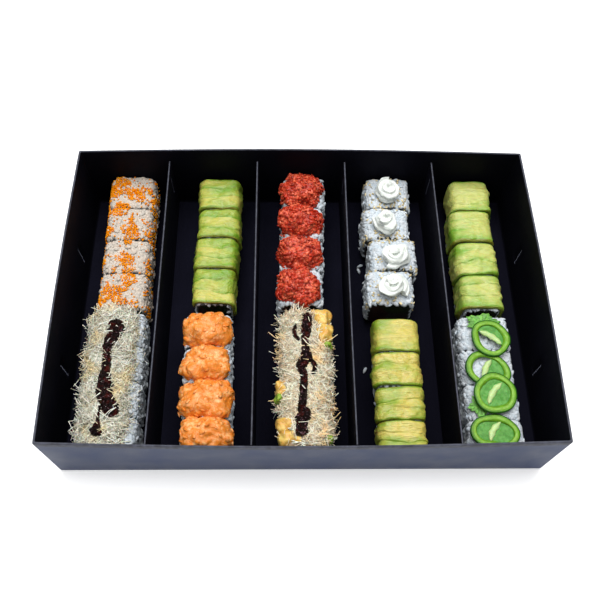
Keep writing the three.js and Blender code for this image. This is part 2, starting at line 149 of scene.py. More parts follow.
class SushiTraySettings(bpy.types.PropertyGroup):
    tray: PointerProperty(type=TraySizes)
    roll: PointerProperty(type=RollSizes)
    topping: PointerProperty(type=ToppingSizes)
    stage: PointerProperty(type=StageSizes)


def settings():
    return bpy.context.scene.sushi_tray


# Meshes and modifiers


def new_piece(name, verts, faces, materials, face_materials=None, smooth=True, attributes=None):
    """A mesh object at the origin, from points in metres, with its materials and point attributes."""
    mesh = bpy.data.meshes.new(name)
    mesh.from_pydata([tuple(v) for v in verts], [], [tuple(f) for f in faces])
    for material in materials:
        mesh.materials.append(material)
    if face_materials is not None:
        mesh.polygons.foreach_set("material_index", face_materials)
    for key, values in (attributes or {}).items():
        mesh.attributes.new(key, "FLOAT", "POINT").data.foreach_set("value", values)
    mesh.polygons.foreach_set("use_smooth", [smooth] * len(mesh.polygons))
    mesh.validate()
    mesh.update()
    piece = bpy.data.objects.new(name, mesh)
    bpy.context.scene.collection.objects.link(piece)
    return piece


def applied(piece):
    """The piece with its modifiers worked into its mesh."""
    bpy.context.view_layer.update()
    graph = bpy.context.evaluated_depsgraph_get()
    mesh = bpy.data.meshes.new_from_object(
        piece.evaluated_get(graph), preserve_all_data_layers=True, depsgraph=graph
    )
    piece.modifiers.clear()
    piece.data = mesh
    return piece


def keep(piece, slot, *nodes):
    """Ties a finished piece to the tray's body and hides the nodes it stands for. slot is not used."""
    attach(piece, BODY)
    if nodes:
        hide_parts(*nodes)
    return piece


def grid_faces(rows, columns, closed):
    """Quads over rows of points, each row with the same number of points. closed joins each row's ends."""
    faces = []
    span = columns if closed else columns - 1
    for r in range(rows - 1):
        for c in range(span):
            d = (c + 1) % columns
            faces.append((r * columns + c, r * columns + d, (r + 1) * columns + d, (r + 1) * columns + c))
    return faces


def tube_faces(rows, around, flip=False):
    """A grid of rows joined into a tube, with a face over each end. flip turns those two over."""
    first, last = list(range(around)), list(range((rows - 1) * around, rows * around))
    ends = (first, last[::-1]) if flip else (first[::-1], last)
    return grid_faces(rows, around, closed=True) + [tuple(end) for end in ends]


class Shape:
    """Points, faces and values gathered from several parts into one piece."""

    def __init__(self):
        self.verts, self.faces, self.kinds, self.values = [], [], [], []

    def add(self, verts, faces, kind=0, values=None):
        start = len(self.verts)
        self.verts += [tuple(v) for v in verts]
        self.faces += [tuple(start + i for i in f) for f in faces]
        self.kinds += kind if isinstance(kind, list) else [kind] * len(faces)
        self.values += list(values) if values is not None else [0.0] * len(verts)

    def piece(self, name, materials, value_name="cover", smooth=True):
        return new_piece(
            name, self.verts, self.faces, materials, self.kinds, smooth, {value_name: self.values}
        )


def face_outwards(piece):
    mesh = bmesh.new()
    mesh.from_mesh(piece.data)
    bmesh.ops.recalc_face_normals(mesh, faces=mesh.faces)
    mesh.to_mesh(piece.data)
    mesh.free()
    return piece


def ripple(point, size, seed=0.0):
    """Smooth noise from about -1 to 1, with lumps of the given size in metres."""
    return noise.noise(Vector(point) / size + Vector((seed, seed * 0.7, -seed)))


def smoothstep(low, high, value):
    t = min(1.0, max(0.0, (value - low) / (high - low)))
    return t * t * (3 - 2 * t)


# Node trees


def add(tree, kind, inputs=None, **values):
    """Adds a node with its settings, and links or sets its inputs."""
    node = tree.nodes.new(kind)
    for key, value in values.items():
        setattr(node, key, value)
    for key, value in (inputs or {}).items():
        socket = node.inputs[key]
        if isinstance(value, bpy.types.NodeSocket):
            tree.links.new(value, socket)
        else:
            socket.default_value = value
    return node


SCATTER_INPUTS = (
    ("Spacing", "NodeSocketFloat", 0.002),
    ("Length", "NodeSocketFloat", 0.005),
    ("Width", "NodeSocketFloat", 0.002),
    ("Thickness", "NodeSocketFloat", 0.002),
    ("Lift", "NodeSocketFloat", 0.0),
    ("Lean", "NodeSocketFloat", 0.2),
    ("Spread", "NodeSocketFloat", 0.15),
    ("Patch Size", "NodeSocketFloat", 0.01),
    ("Cover", "NodeSocketFloat", 1.0),
    ("Bend", "NodeSocketFloat", 0.0),
    ("Bend Size", "NodeSocketFloat", 0.006),
    ("Seed", "NodeSocketInt", 1),
    ("Material", "NodeSocketMaterial", None),
)


def scatter_tree(name, shape):
    """Scatters small bodies over a surface: beads are rounded, shreds are thin sticks that bend.
    The surface's own attribute cover thins them out, and Cover leaves bare patches."""
    tree = bpy.data.node_groups.new(name, "GeometryNodeTree")
    tree.interface.new_socket("Geometry", in_out="INPUT", socket_type="NodeSocketGeometry")
    tree.interface.new_socket("Geometry", in_out="OUTPUT", socket_type="NodeSocketGeometry")
    for label, kind, default in SCATTER_INPUTS:
        socket = tree.interface.new_socket(label, in_out="INPUT", socket_type=kind)
        if default is not None:
            socket.default_value = default
    given = add(tree, "NodeGroupInput").outputs

    def cloud(size, **looks):
        """Noise with lumps of the given size at the points of the geometry."""
        place = add(tree, "GeometryNodeInputPosition")
        scale = add(tree, "ShaderNodeMath", {0: 1.0, 1: size}, operation="DIVIDE")
        values = {"Vector": place.outputs[0], "Scale": scale.outputs[0], **looks}
        return add(tree, "ShaderNodeTexNoise", values).outputs

    # Points on the surface, with bare patches between them, lifted off it
    area = add(tree, "ShaderNodeMath", {0: given["Spacing"], 1: given["Spacing"]}, operation="MULTIPLY")
    most = add(tree, "ShaderNodeMath", {0: 3.0, 1: area.outputs[0]}, operation="DIVIDE")
    share = add(tree, "GeometryNodeInputNamedAttribute", {"Name": "cover"}, data_type="FLOAT")
    values = {
        "Mesh": given["Geometry"],
        "Distance Min": given["Spacing"],
        "Density Max": most.outputs[0],
        "Density Factor": share.outputs["Attribute"],
        "Seed": given["Seed"],
    }
    points = add(tree, "GeometryNodeDistributePointsOnFaces", values, distribute_method="POISSON")
    lumps = cloud(given["Patch Size"], Detail=2.2, Roughness=0.54)[0]
    bare = add(tree, "FunctionNodeCompare", {0: lumps, 1: given["Cover"]}, operation="GREATER_THAN")
    values = {"Geometry": points.outputs["Points"], "Selection": bare.outputs[0]}
    kept = add(tree, "GeometryNodeDeleteGeometry", values, domain="POINT")
    values = {0: points.outputs["Normal"], "Scale": given["Lift"]}
    rise = add(tree, "ShaderNodeVectorMath", values, operation="SCALE")
    lifted = add(tree, "GeometryNodeSetPosition", {"Geometry": kept.outputs[0], "Offset": rise.outputs[0]})

    # Each body spins about the surface's normal and leans out of it a little
    spin = add(tree, "FunctionNodeRandomValue", {2: 0.0, 3: TAU, "Seed": given["Seed"]}, data_type="FLOAT")
    down = add(tree, "ShaderNodeMath", {0: given["Lean"], 1: -1.0}, operation="MULTIPLY")
    values = {2: down.outputs[0], 3: given["Lean"], "Seed": 7}
    lean = add(tree, "FunctionNodeRandomValue", values, data_type="FLOAT")
    angles = add(tree, "ShaderNodeCombineXYZ", {"Y": lean.outputs[1], "Z": spin.outputs[1]})
    turn = add(tree, "FunctionNodeEulerToRotation", {0: angles.outputs[0]})
    values = {0: points.outputs["Rotation"], 1: turn.outputs[0]}
    facing = add(tree, "FunctionNodeRotateRotation", values, rotation_space="LOCAL")

    # One body of unit size, laid along X
    if shape == "bead":
        laid = add(tree, "GeometryNodeMeshUVSphere", {"Segments": 6, "Rings": 4, "Radius": 0.5})
    else:
        values = {"Vertices": 3, "Side Segments": 4, "Radius": 0.5, "Depth": 1.0}
        stick = add(tree, "GeometryNodeMeshCylinder", values, fill_type="NGON")
        values = {"Geometry": stick.outputs["Mesh"], "Rotation": (0.0, math.pi / 2, 0.0)}
        laid = add(tree, "GeometryNodeTransform", values)
    values = {"X": given["Length"], "Y": given["Width"], "Z": given["Thickness"]}
    size = add(tree, "ShaderNodeCombineXYZ", values)
    sized = add(tree, "GeometryNodeTransform", {"Geometry": laid.outputs[0], "Scale": size.outputs[0]})

    # The bodies differ in size and in tone, and become real so that they can bend
    least = add(tree, "ShaderNodeMath", {0: 1.0, 1: given["Spread"]}, operation="SUBTRACT")
    largest = add(tree, "ShaderNodeMath", {0: 1.0, 1: given["Spread"]}, operation="ADD")
    values = {2: least.outputs[0], 3: largest.outputs[0], "Seed": 11}
    growth = add(tree, "FunctionNodeRandomValue", values, data_type="FLOAT")
    values = {
        "Points": lifted.outputs[0],
        "Instance": sized.outputs[0],
        "Rotation": facing.outputs[0],
        "Scale": growth.outputs[1],
    }
    placed = add(tree, "GeometryNodeInstanceOnPoints", values)
    tone = add(tree, "FunctionNodeRandomValue", {2: 0.0, 3: 1.0, "Seed": 23}, data_type="FLOAT")
    values = {"Geometry": placed.outputs[0], "Name": "tone", "Value": tone.outputs[1]}
    toned = add(tree, "GeometryNodeStoreNamedAttribute", values, data_type="FLOAT", domain="INSTANCE")
    real = add(tree, "GeometryNodeRealizeInstances", {0: toned.outputs[0]})
    wave = cloud(given["Bend Size"], Detail=1.0)[1]
    centred = add(tree, "ShaderNodeVectorMath", {0: wave, 1: (0.5, 0.5, 0.5)}, operation="SUBTRACT")
    values = {0: centred.outputs[0], "Scale": given["Bend"]}
    push = add(tree, "ShaderNodeVectorMath", values, operation="SCALE")
    bent = add(tree, "GeometryNodeSetPosition", {"Geometry": real.outputs[0], "Offset": push.outputs[0]})
    smooth = add(tree, "GeometryNodeSetShadeSmooth", {"Geometry": bent.outputs[0], "Shade Smooth": True})
    values = {"Geometry": smooth.outputs[0], "Material": given["Material"]}
    painted = add(tree, "GeometryNodeSetMaterial", values)
    add(tree, "NodeGroupOutput", {0: painted.outputs[0]})
    return tree


def scatter(name, surface, tree, slot, **inputs):
    """A piece of small bodies over the surface of another piece."""
    piece = bpy.data.objects.new(name, surface.data.copy())
    bpy.context.scene.collection.objects.link(piece)
    modifier = piece.modifiers.new("Scatter", "NODES")
    modifier.node_group = tree
    labels = {item.name: item.identifier for item in tree.interface.items_tree if item.in_out == "INPUT"}
    for label, value in inputs.items():
        modifier[labels[label.replace("_", " ").title()]] = value
    applied(piece)
    if not piece.data.polygons:
        raise RuntimeError(f"{name} came out empty")
    return keep(piece, slot)


def set_cover(piece, cover):
    """Where a scatter may put its points, from each point of the surface."""
    values = [cover(v.co) for v in piece.data.vertices]
    attributes = piece.data.attributes
    (attributes.get("cover") or attributes.new("cover", "FLOAT", "POINT")).data.foreach_set("value", values)


def hold_inside(piece, low, high):
    """Keeps what lies on a roll inside its lane, as the card does. low and high are the box of its solid."""
    middle = (low[0] + high[0]) / 2
    reach = 30 * MM
    limit = settings().tray.depth / 2 - settings().tray.wall
    for vertex in piece.data.vertices:
        x = min(middle + reach, max(middle - reach, vertex.co.x))
        vertex.co = (x, min(limit, max(-limit, vertex.co.y)), vertex.co.z)


# Materials


def start_material(name, colour, roughness, **looks):
    """A material and its node tree. looks are values for the shader's own sockets, with _ for each space."""
    made = bpy.data.materials.new(name)
    made.use_nodes = True
    shader = made.node_tree.nodes["Principled BSDF"]
    for key, value in {"Base Color": (*colour, 1), "Roughness": roughness, **looks}.items():
        shader.inputs[key.replace("_", " ")].default_value = value
    return made, made.node_tree


def patches(tree, size, low=0.3, high=0.7, stretch=(1, 1, 1), detail=3.0):
    """0 between irregular patches of about the given size in millimetres, and 1 inside them."""
    place = add(tree, "ShaderNodeTexCoord")
    laid = add(tree, "ShaderNodeMapping", {"Vector": place.outputs["Object"], "Scale": stretch})
    values = {"Vector": laid.outputs[0], "Scale": 1 / (size * MM), "Detail": detail}
    cloud = add(tree, "ShaderNodeTexNoise", values)
    values = {"Value": cloud.outputs[0], "From Min": low, "From Max": high}
    return add(tree, "ShaderNodeMapRange", values).outputs[0]


def layered(tree, base, layers):
    """A colour that turns from base to each layer's colour where that layer's share is 1.
    Each layer is a share and a colour, and each colour may be a socket."""
    for share, colour in layers:
        ends = [c if isinstance(c, bpy.types.NodeSocket) else (*c, 1) for c in (base, colour)]
        mix = add(tree, "ShaderNodeMix", {0: share, 6: ends[0], 7: ends[1]}, data_type="RGBA")
        base = mix.outputs[2]
    return base


def finish_material(made, base, layers, height, depth, **others):
    """Colours a material in layers, and raises its surface where height is high, by up to depth in
    millimetres. others are sockets to link to the rest of the shader, by name."""
    tree = made.node_tree
    bump = add(tree, "ShaderNodeBump", {"Height": height, "Distance": depth * MM, "Strength": 1.0})
    links = {"Base Color": layered(tree, base, layers), "Normal": bump.outputs["Normal"], **others}
    for key, socket in links.items():
        tree.links.new(socket, tree.nodes["Principled BSDF"].inputs[key])
    return made


def shade(colour, factor):
    return tuple(min(1.0, c * factor) for c in colour)


def scaled(colour, factors):
    return tuple(c * f for c, f in zip(colour, factors))


def card_material(name, colour, scuff, specular, sheen):
    """Board printed black and sealed with matt varnish: dark, a little cloudy, with a fine fibre grain."""
    made, tree = start_material(name, colour, 0.5, Specular_IOR_Level=specular, Specular_Tint=(*sheen, 1))
    cloud = patches(tree, 30)
    fleck = patches(tree, 3, 0.62, 0.72, detail=5.0)
    layers = [(cloud, shade(colour, 1.2)), (fleck, shade(colour, 1 + scuff))]
    dull = add(tree, "ShaderNodeMapRange", {"Value": cloud, "To Min": 0.42, "To Max": 0.58})
    # Board fibres are about 0.1 mm across, drawn at 0.7 mm so that they show
    fibres = patches(tree, 0.7, stretch=(1, 0.4, 1))
    return finish_material(made, shade(colour, 0.85), layers, fibres, 0.04, Roughness=dull.outputs[0])


def edge_material(name, colour):
    """Cut or folded board, where the print has cracked and the grey fibre shows."""
    made, tree = start_material(name, colour, 0.75)
    worn = patches(tree, 4, 0.35, 0.65, detail=6.0)
    return finish_material(made, shade(colour, 0.45), [(worn, colour)], patches(tree, 0.5), 0.05)


def rice_material(name, colour):
    """Cooked and pressed sushi rice: white, moist grains that let light through, some greyer."""
    made, tree = start_material(
        name,
        colour,
        0.55,
        Subsurface_Weight=0.3,
        Subsurface_Scale=0.8 * MM,
        Subsurface_Radius=(1, 0.97, 0.94),
        Specular_IOR_Level=0.12,
    )
    tone = add(tree, "ShaderNodeAttribute", attribute_name="tone").outputs["Fac"]
    glassy = patches(tree, 4, 0.42, 0.62)
    layers = [(tone, shade(colour, 1.08)), (glassy, scaled(colour, (0.86, 0.92, 0.96)))]
    return finish_material(made, shade(colour, 0.92), layers, patches(tree, 1.6), 0.05)


def seaweed_material(name, colour):
    """Roasted seaweed sheet: near black with a green cast, crinkled and softly shiny."""
    made, tree = start_material(name, colour, 0.38, Specular_IOR_Level=0.5)
    layers = [(patches(tree, 2, 0.35, 0.65), scaled(colour, (1.6, 2.0, 1.2)))]
    return finish_material(made, shade(colour, 0.5), layers, patches(tree, 1), 0.15)


def moist_material(name, colour, deep, size, roughness=0.3, subsurface=0.2, wet=0.3):
    """Moist food flesh: patches of a deeper colour, size across, light let through, and a wet shine."""
    made, tree = start_material(
        name,
        colour,
        roughness,
        Subsurface_Weight=subsurface,
        Subsurface_Scale=1.2 * MM,
        Specular_IOR_Level=wet,
        Coat_Weight=wet / 3,
        Coat_Roughness=0.15,
    )
    tone = add(tree, "ShaderNodeAttribute", attribute_name="tone").outputs["Fac"]
    share = patches(tree, size, 0.38, 0.62)
    both = add(tree, "ShaderNodeMath", {0: share, 1: tone}, operation="MAXIMUM").outputs[0]
    return finish_material(made, deep, [(both, colour)], patches(tree, 1.2), 0.15)


def fish_material(name, colour, deep, light):
    """Raw fish chopped and dressed: wet, translucent bits, deep in the creases as painted shade, and pale in
    patches as painted highlights.
    """
    made, tree = start_material(
        name,
        colour,
        0.34,
        Subsurface_Weight=0.2,
        Subsurface_Scale=1.2 * MM,
        Specular_IOR_Level=0.3,
        Coat_Weight=0.1,
    )
    # On the mounds the tone is painted shade, low in the creases; on the loose bits it is random
    tone = add(tree, "ShaderNodeAttribute", attribute_name="tone").outputs["Fac"]
    streaks = patches(tree, 2.4, 0.4, 0.62)
    # Painted highlights: the pale colour is laid where the streaks and the broad patches overlap
    pale = patches(tree, 6, 0.4, 0.58, detail=4.0)
    both = add(tree, "ShaderNodeMath", {0: streaks, 1: pale}, operation="MULTIPLY").outputs[0]
    return finish_material(made, deep, [(tone, colour), (both, light)], patches(tree, 1.1), 0.2)


def avocado_material(name, green, yellow):
    """Ripe avocado, sliced: buttery and faintly wet, yellow towards the stone and green by the skin."""
    made, tree = start_material(
        name,
        yellow,
        0.38,
        Subsurface_Weight=0.15,
        Subsurface_Scale=1 * MM,
        Coat_Weight=0.12,
        Coat_Roughness=0.25,
    )
    ripe = add(tree, "ShaderNodeAttribute", attribute_name="ripe").outputs["Fac"]
    cloud = patches(tree, 7, stretch=(0.5, 1, 1), detail=4.0)
    spread = add(tree, "ShaderNodeMath", {0: cloud, 1: -0.5}, operation="ADD")
    softer = add(tree, "ShaderNodeMath", {0: spread.outputs[0], 1: 0.45}, operation="MULTIPLY")
    share = add(tree, "ShaderNodeMath", {0: ripe, 1: softer.outputs[0]}, operation="ADD", use_clamp=True)
    # Past 0.9 the flesh turns olive, at the front edge of each slice and the ends of each piece: partly the
    # browned cut edge, partly painted shade in the creases
    crease = add(tree, "ShaderNodeMapRange", {"Value": ripe, "From Min": 0.9, "From Max": 1.7})
    layers = [(share.outputs[0], green), (crease.outputs[0], linear("#868a2b"))]
    flesh = layered(tree, yellow, layers)
    # Fine fibres run across the roll, about 0.6 mm apart, and are a little darker
    fibres = patches(tree, 1.2, 0.35, 0.65, stretch=(0.25, 1, 1))
    dim = {0: 1.0, 6: flesh, 7: (0.82, 0.82, 0.82, 1)}
    dark = add(tree, "ShaderNodeMix", dim, data_type="RGBA", blend_type="MULTIPLY").outputs[2]
    return finish_material(made, dark, [(fibres, flesh)], fibres, 0.3)


def egg_material(name, colour):
    """Small fish eggs: saturated orange, clear enough for light to pass, some deeper than others."""
    made, tree = start_material(
        name, colour, 0.35, Subsurface_Weight=0.05, Subsurface_Scale=0.6 * MM, Specular_IOR_Level=0.03
    )
    tone = add(tree, "ShaderNodeAttribute", attribute_name="tone").outputs["Fac"]
    deep = scaled(colour, (0.92, 0.7, 0.5))
    light = (min(1, colour[0] * 1.05), colour[1] * 1.35, colour[2] + 0.01)
    return finish_material(made, deep, [(tone, light)], patches(tree, 0.5), 0.03)


def cream_material(name, colour):
    """Piped cream cheese: smooth, dense and white, with a soft sheen and faint drag lines."""
    made, tree = start_material(
        name,
        colour,
        0.42,
        Subsurface_Weight=0.2,
        Subsurface_Scale=1.5 * MM,
        Subsurface_Radius=(1, 0.95, 0.85),
        Coat_Weight=0.1,
    )
    lines = patches(tree, 0.9, stretch=(1, 1, 3))
    return finish_material(made, shade(colour, 0.95), [(patches(tree, 5), colour)], lines, 0.08)


def seed_material(name, colour):
    """Toasted sesame seed: pale tan, some browner, with a dry, slightly waxy skin."""
    made, tree = start_material(name, colour, 0.5)
    tone = add(tree, "ShaderNodeAttribute", attribute_name="tone").outputs["Fac"]
    layers = [(tone, shade(colour, 1.3))]
    return finish_material(made, shade(colour, 0.6), layers, patches(tree, 0.6), 0.04)


def shred_material(name, colour):
    """Potato cut into fine shreds and fried: pale straw, some golden, dry with a faint oily shine."""
    made, tree = start_material(name, colour, 0.45, Subsurface_Weight=0.1, Subsurface_Scale=0.5 * MM)
    tone = add(tree, "ShaderNodeAttribute", attribute_name="tone").outputs["Fac"]
    golden = patches(tree, 16, 0.5, 0.72)
    layers = [(tone, shade(colour, 1.6)), (golden, scaled(colour, (1.05, 0.9, 0.6)))]
    return finish_material(made, shade(colour, 0.6), layers, patches(tree, 0.5), 0.05)


def sauce_material(name, colour):
    """Reduced soy glaze: almost black, reddish where it is thin, glossy, with small pale patches painted as
    highlights.
    """
    made, tree = start_material(name, colour, 0.12, Specular_IOR_Level=0.09)
    # Painted highlights: small pale patches over the glaze
    thin, painted_glints = patches(tree, 4, 0.5, 0.76), patches(tree, 1.9, 0.6, 0.7)
    layers = [(thin, linear("#4a130c")), (painted_glints, linear("#6d5158"))]
    return finish_material(made, colour, layers, patches(tree, 1.5), 0.9)


def leaf_material(name, colour):
    """Fresh herb leaf: mid green, paler along the veins, with a soft satin skin."""
    made, tree = start_material(name, colour, 0.45, Subsurface_Weight=0.1, Subsurface_Scale=0.5 * MM)
    veins = patches(tree, 2.2, 0.48, 0.56)
    return finish_material(made, shade(colour, 0.85), [(veins, shade(colour, 1.4))], veins, 0.15)


# The card tray and its dividers


# Rounding of the tray's upright corners and of its lower edges
ROUNDING = 0.9 * MM
WALL_STEPS, FOLD_STEPS = 12, 6
# Material slots of the tray
OUTSIDE, INSIDE, FOLD = 0, 1, 2
# How strongly the card mirrors red, green and blue light, inside and outside the tray
INNER_SHEEN, OUTER_SHEEN = (0.5, 0.5, 1), (0.6, 0.78, 1)
# Outward directions of the front, right, back and left walls
SIDES = ((0, -1), (1, 0), (0, 1), (-1, 0))


def tray_outline(sizes, inset, z):
    """The tray seen from above at height z, inset from its outer face, with walls that bow out."""
    half = (sizes.width / 2 - inset, sizes.depth / 2 - inset)
    bow = sizes.bow * (max(0.0, z) / tray_top) ** 1.5
    corners = [(-half[0], -half[1]), (half[0], -half[1]), (half[0], half[1]), (-half[0], half[1])]
    points = []
    for side, out in enumerate(SIDES):
        start, end = corners[side], corners[(side + 1) % 4]
        length = math.dist(start, end)
        long_side = side % 2 == 0
        steps = 30 if long_side else 20
        for i in range(steps):
            t = (ROUNDING + (length - 2 * ROUNDING) * i / (steps - 1)) / length
            bulge = bow * (1.0 if long_side else 0.5) * math.sin(math.pi * t)
            points.append((*[a + (b - a) * t + o * bulge for a, b, o in zip(start, end, out)], z))
        points.append((*[e - math.copysign(0.3 * ROUNDING, e) for e in end], z))
    return points


def cut_slits(piece, boxes, edge):
    """Cuts narrow slits right through the card, with raw edges."""
    shape = Shape()
    for centre, size in boxes:
        (x0, y0, z0), (x1, y1, z1) = [[c + s * k / 2 for c, s in zip(centre, size)] for k in (-1, 1)]
        corners = [(x, y, z) for x in (x0, x1) for y in (y0, y1) for z in (z0, z1)]
        quads = [(0, 1, 3, 2), (4, 6, 7, 5), (0, 4, 5, 1), (2, 3, 7, 6), (0, 2, 6, 4), (1, 5, 7, 3)]
        shape.add(corners, quads)
    cutter = shape.piece("slit_cutter", [edge], smooth=False)
    modifier = piece.modifiers.new("Slits", "BOOLEAN")
    modifier.operation = "DIFFERENCE"
    modifier.solver = "EXACT"
    modifier.material_mode = "TRANSFER"
    modifier.object = cutter
    applied(piece)
    bpy.data.objects.remove(cutter)


class TRAY_OT_card_tray(bpy.types.Operator):
    """Builds the folded card tray: a double wall with a rounded fold for a rim, and locking slits"""

    bl_idname = "sushi_tray.card_tray"
    bl_label = "Card tray"

    def execute(self, context):
        sizes = settings().tray
        inside = card_material("Matt black paperboard, printed", sizes.card, 0.35, 0.05, INNER_SHEEN)
        # The outer face is the same black card, with its colour lifted to bluish grey as painted reflection,
        # on top of the real sheen
        outside_with_painted_sheen = card_material("Matt black paperboard, outer face, painted sheen", sizes.outside_with_painted_sheen, 0.2, 0.2, OUTER_SHEEN)
        edge = edge_material("Paperboard, cut edge", sizes.raw_edge)
        fold = edge_material("Paperboard, creased fold", shade(sizes.raw_edge, 0.35))

        # The section of the wall as inset and height, from under the floor over the rim to the floor inside
        levels = [tray_top * i / WALL_STEPS for i in range(1, WALL_STEPS)]
        section = [(ROUNDING, 0.0), (0.0, ROUNDING), *[(0.0, level) for level in levels]]
        for i in range(FOLD_STEPS + 1):
            angle = math.pi * i / FOLD_STEPS
            inset = sizes.wall / 2 * (1 - math.cos(angle))
            section.append((inset, tray_top - sizes.fold + sizes.fold * math.sin(angle)))
        section += [(sizes.wall, level) for level in reversed(levels)]
        section += [(sizes.wall, sizes.floor + ROUNDING), (sizes.wall + ROUNDING, sizes.floor)]

        loops = [tray_outline(sizes, inset, z) for inset, z in section]
        count = len(loops[0])
        strips = [OUTSIDE] * WALL_STEPS + [FOLD] * FOLD_STEPS
        strips += [INSIDE] * (len(loops) - 1 - len(strips))
        kinds = [kind for kind in strips for _ in range(count)] + [OUTSIDE, INSIDE]
        verts = [p for loop in loops for p in loop]
        materials = [outside_with_painted_sheen, inside, fold, edge]
        tray = new_piece("card_tray", verts, tube_faces(len(loops), count), materials, kinds)
        face_outwards(tray)
        slits = [
            ((x, y, 18 * MM + sizes.slit / 2), (12 * MM, sizes.slit_width, sizes.slit))
            for x in (-sizes.width / 2, sizes.width / 2)
            for y in (46 * MM, -52 * MM)
        ]
        cut_slits(tray, slits, edge)
        keep(tray, "card", "tray")
        return {"FINISHED"}


class TRAY_OT_dividers(bpy.types.Operator):
    """Builds the four dividers: thin card panels with a raw top edge, each with one slit"""

    bl_idname = "sushi_tray.dividers"
    bl_label = "Dividers"

    def execute(self, context):
        sizes = settings().tray
        face = card_material("Matt black paperboard, divider", sizes.card, 0.3, 0.05, INNER_SHEEN)
        edge = edge_material("Paperboard, worn cut edge", shade(sizes.raw_edge, 0.34))
        raw = edge_material("Paperboard, slit", sizes.raw_edge)
        rounding, lengths = 0.25 * MM, 26
        for number in range(1, DIVIDERS + 1):
            low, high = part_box(f"divider_{number}")
            middle = (low[0] + high[0]) / 2
            half = (high[0] - low[0]) / 2
            profile = [(-half, low[2]), (-half, high[2] - 4 * rounding), (-half, high[2] - rounding)]
            profile += [(-half + rounding, high[2])]
            profile += [(-x, z) for x, z in reversed(profile)]
            verts = []
            for r in range(lengths + 1):
                y = low[1] + (high[1] - low[1]) * r / lengths
                for x, z in profile:
                    warp = 0.25 * MM * math.sin(math.pi * r / lengths) * math.sin(z * 90 + number * 2.0)
                    verts.append((middle + x + warp, y, z))
            # The flat of the top edge, and both ends, show the cut board
            count, top = len(profile), len(profile) // 2 - 1
            kinds = [int(c == top) for _ in range(lengths) for c in range(count)] + [1, 1]
            faces = tube_faces(lengths + 1, count, flip=True)
            panel = new_piece(f"divider_panel_{number}", verts, faces, [face, edge], kinds, smooth=False)
            face_outwards(panel)
            at = (middle, high[1] - 11 * MM, low[2] + 28 * MM + sizes.slit / 2)
            cut_slits(panel, [(at, (6 * MM, sizes.slit_width, sizes.slit))], raw)
            keep(panel, "card", f"divider_{number}")
        return {"FINISHED"}


# The rice rolls


def section_radius(angle, half_width, half_height, power):
    """From the middle of a rounded square to its outline, in the direction of angle."""
    across = abs(math.cos(angle)) / half_width
    upward = abs(math.sin(angle)) / half_height
    return (across**power + upward**power) ** (-1 / power)


class Piece:
    """One cut piece of a roll: where its rice stands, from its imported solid."""

    def __init__(self, node, cover=0.0, rise=0.0, bump=0.4 * MM):
        low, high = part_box(node)
        self.node = node
        self.x = (low[0] + high[0]) / 2
        self.back, self.front = high[1], low[1]
        self.y = (self.back + self.front) / 2
        self.length = self.back - self.front
        self.half_width = (high[0] - low[0]) / 2 - cover - bump
        self.base = low[2]
        self.top = high[2] - rise - cover - bump
        self.z = (self.base + self.top) / 2
        self.half_height = (self.top - self.base) / 2

    def at(self, angle, y, out=0.0, shrink=1.0):
        """A point on the rice at an angle round the section, standing out from it by out."""
        power = settings().roll.squareness
        reach = section_radius(angle, self.half_width, self.half_height, power) * shrink + out
        z = self.z + reach * math.sin(angle)
        return (self.x + reach * math.cos(angle), y, max(self.base, z))


# Each roll: how thick its cover is and how high its mound rises, in millimetres
ROLLS = {
    "roe_roll": (0.0, 0.0),
    "avocado_roll_left": (3.0, 0.0),
    "red_roll": (0.0, 11.5),
    "cream_roll": (0.0, 0.0),
    "avocado_roll_right": (3.0, 0.0),
    "crisp_roll_left": (0.0, 0.0),
    "salmon_roll": (0.0, 11.5),
    "crisp_roll_middle": (0.0, 0.0),
    "avocado_roll_front": (3.0, 0.0),
    "pepper_roll": (0.0, 0.0),
}
# How far the core lies under the outer grains
GRAIN_DEPTH = 0.8 * MM
# Half the width of the rice under a mound
MOUND_RICE_HALF_WIDTH = 17.6 * MM
# Grains that fell on the floor of the tray: x, y and turn, in millimetres and radians
FALLEN_GRAINS = (
    (49.6, 52.1, 0.4), (48.2, 47.5, 1.9), (49.2, -41.5, 1.1), (-124.1, 0.8, 0.2), (-121.5, -3.5, 1.4),
)


def pieces_of(roll):
    cover, rise = ROLLS[roll]
    made = [Piece(f"{roll}_{i + 1}", cover * MM, rise * MM) for i in range(PIECES)]
    if rise:
        # A mound reaches past its rice, so the solid's box doesn't give the size of the rice
        for piece in made:
            piece.half_width = MOUND_RICE_HALF_WIDTH
            piece.top = piece.base + settings().roll.height
            piece.z = (piece.base + piece.top) / 2
            piece.half_height = (piece.top - piece.base) / 2
    return made


# Materials of a roll's core, in the order of its slots: the fillings lie between the seaweed and the cut
# The cut and filling slots take near-black materials: painted shade on the ends of the pieces
RICE, SEAWEED, FILLINGS, CUT = 0, 1, (2, 3, 4), 5
# Along a piece: share of its length, and share of the section's size there
STATIONS = (
    (0, 0.9), (0.035, 0.96), (0.12, 1), (0.3, 1), (0.5, 1), (0.7, 1), (0.88, 1), (0.965, 0.96), (1, 0.9),
)
# Rings of a cut face from the outside in, as shares of the section's size
FACE_RINGS = (0.97, 0.93, 0.5, 0.12)


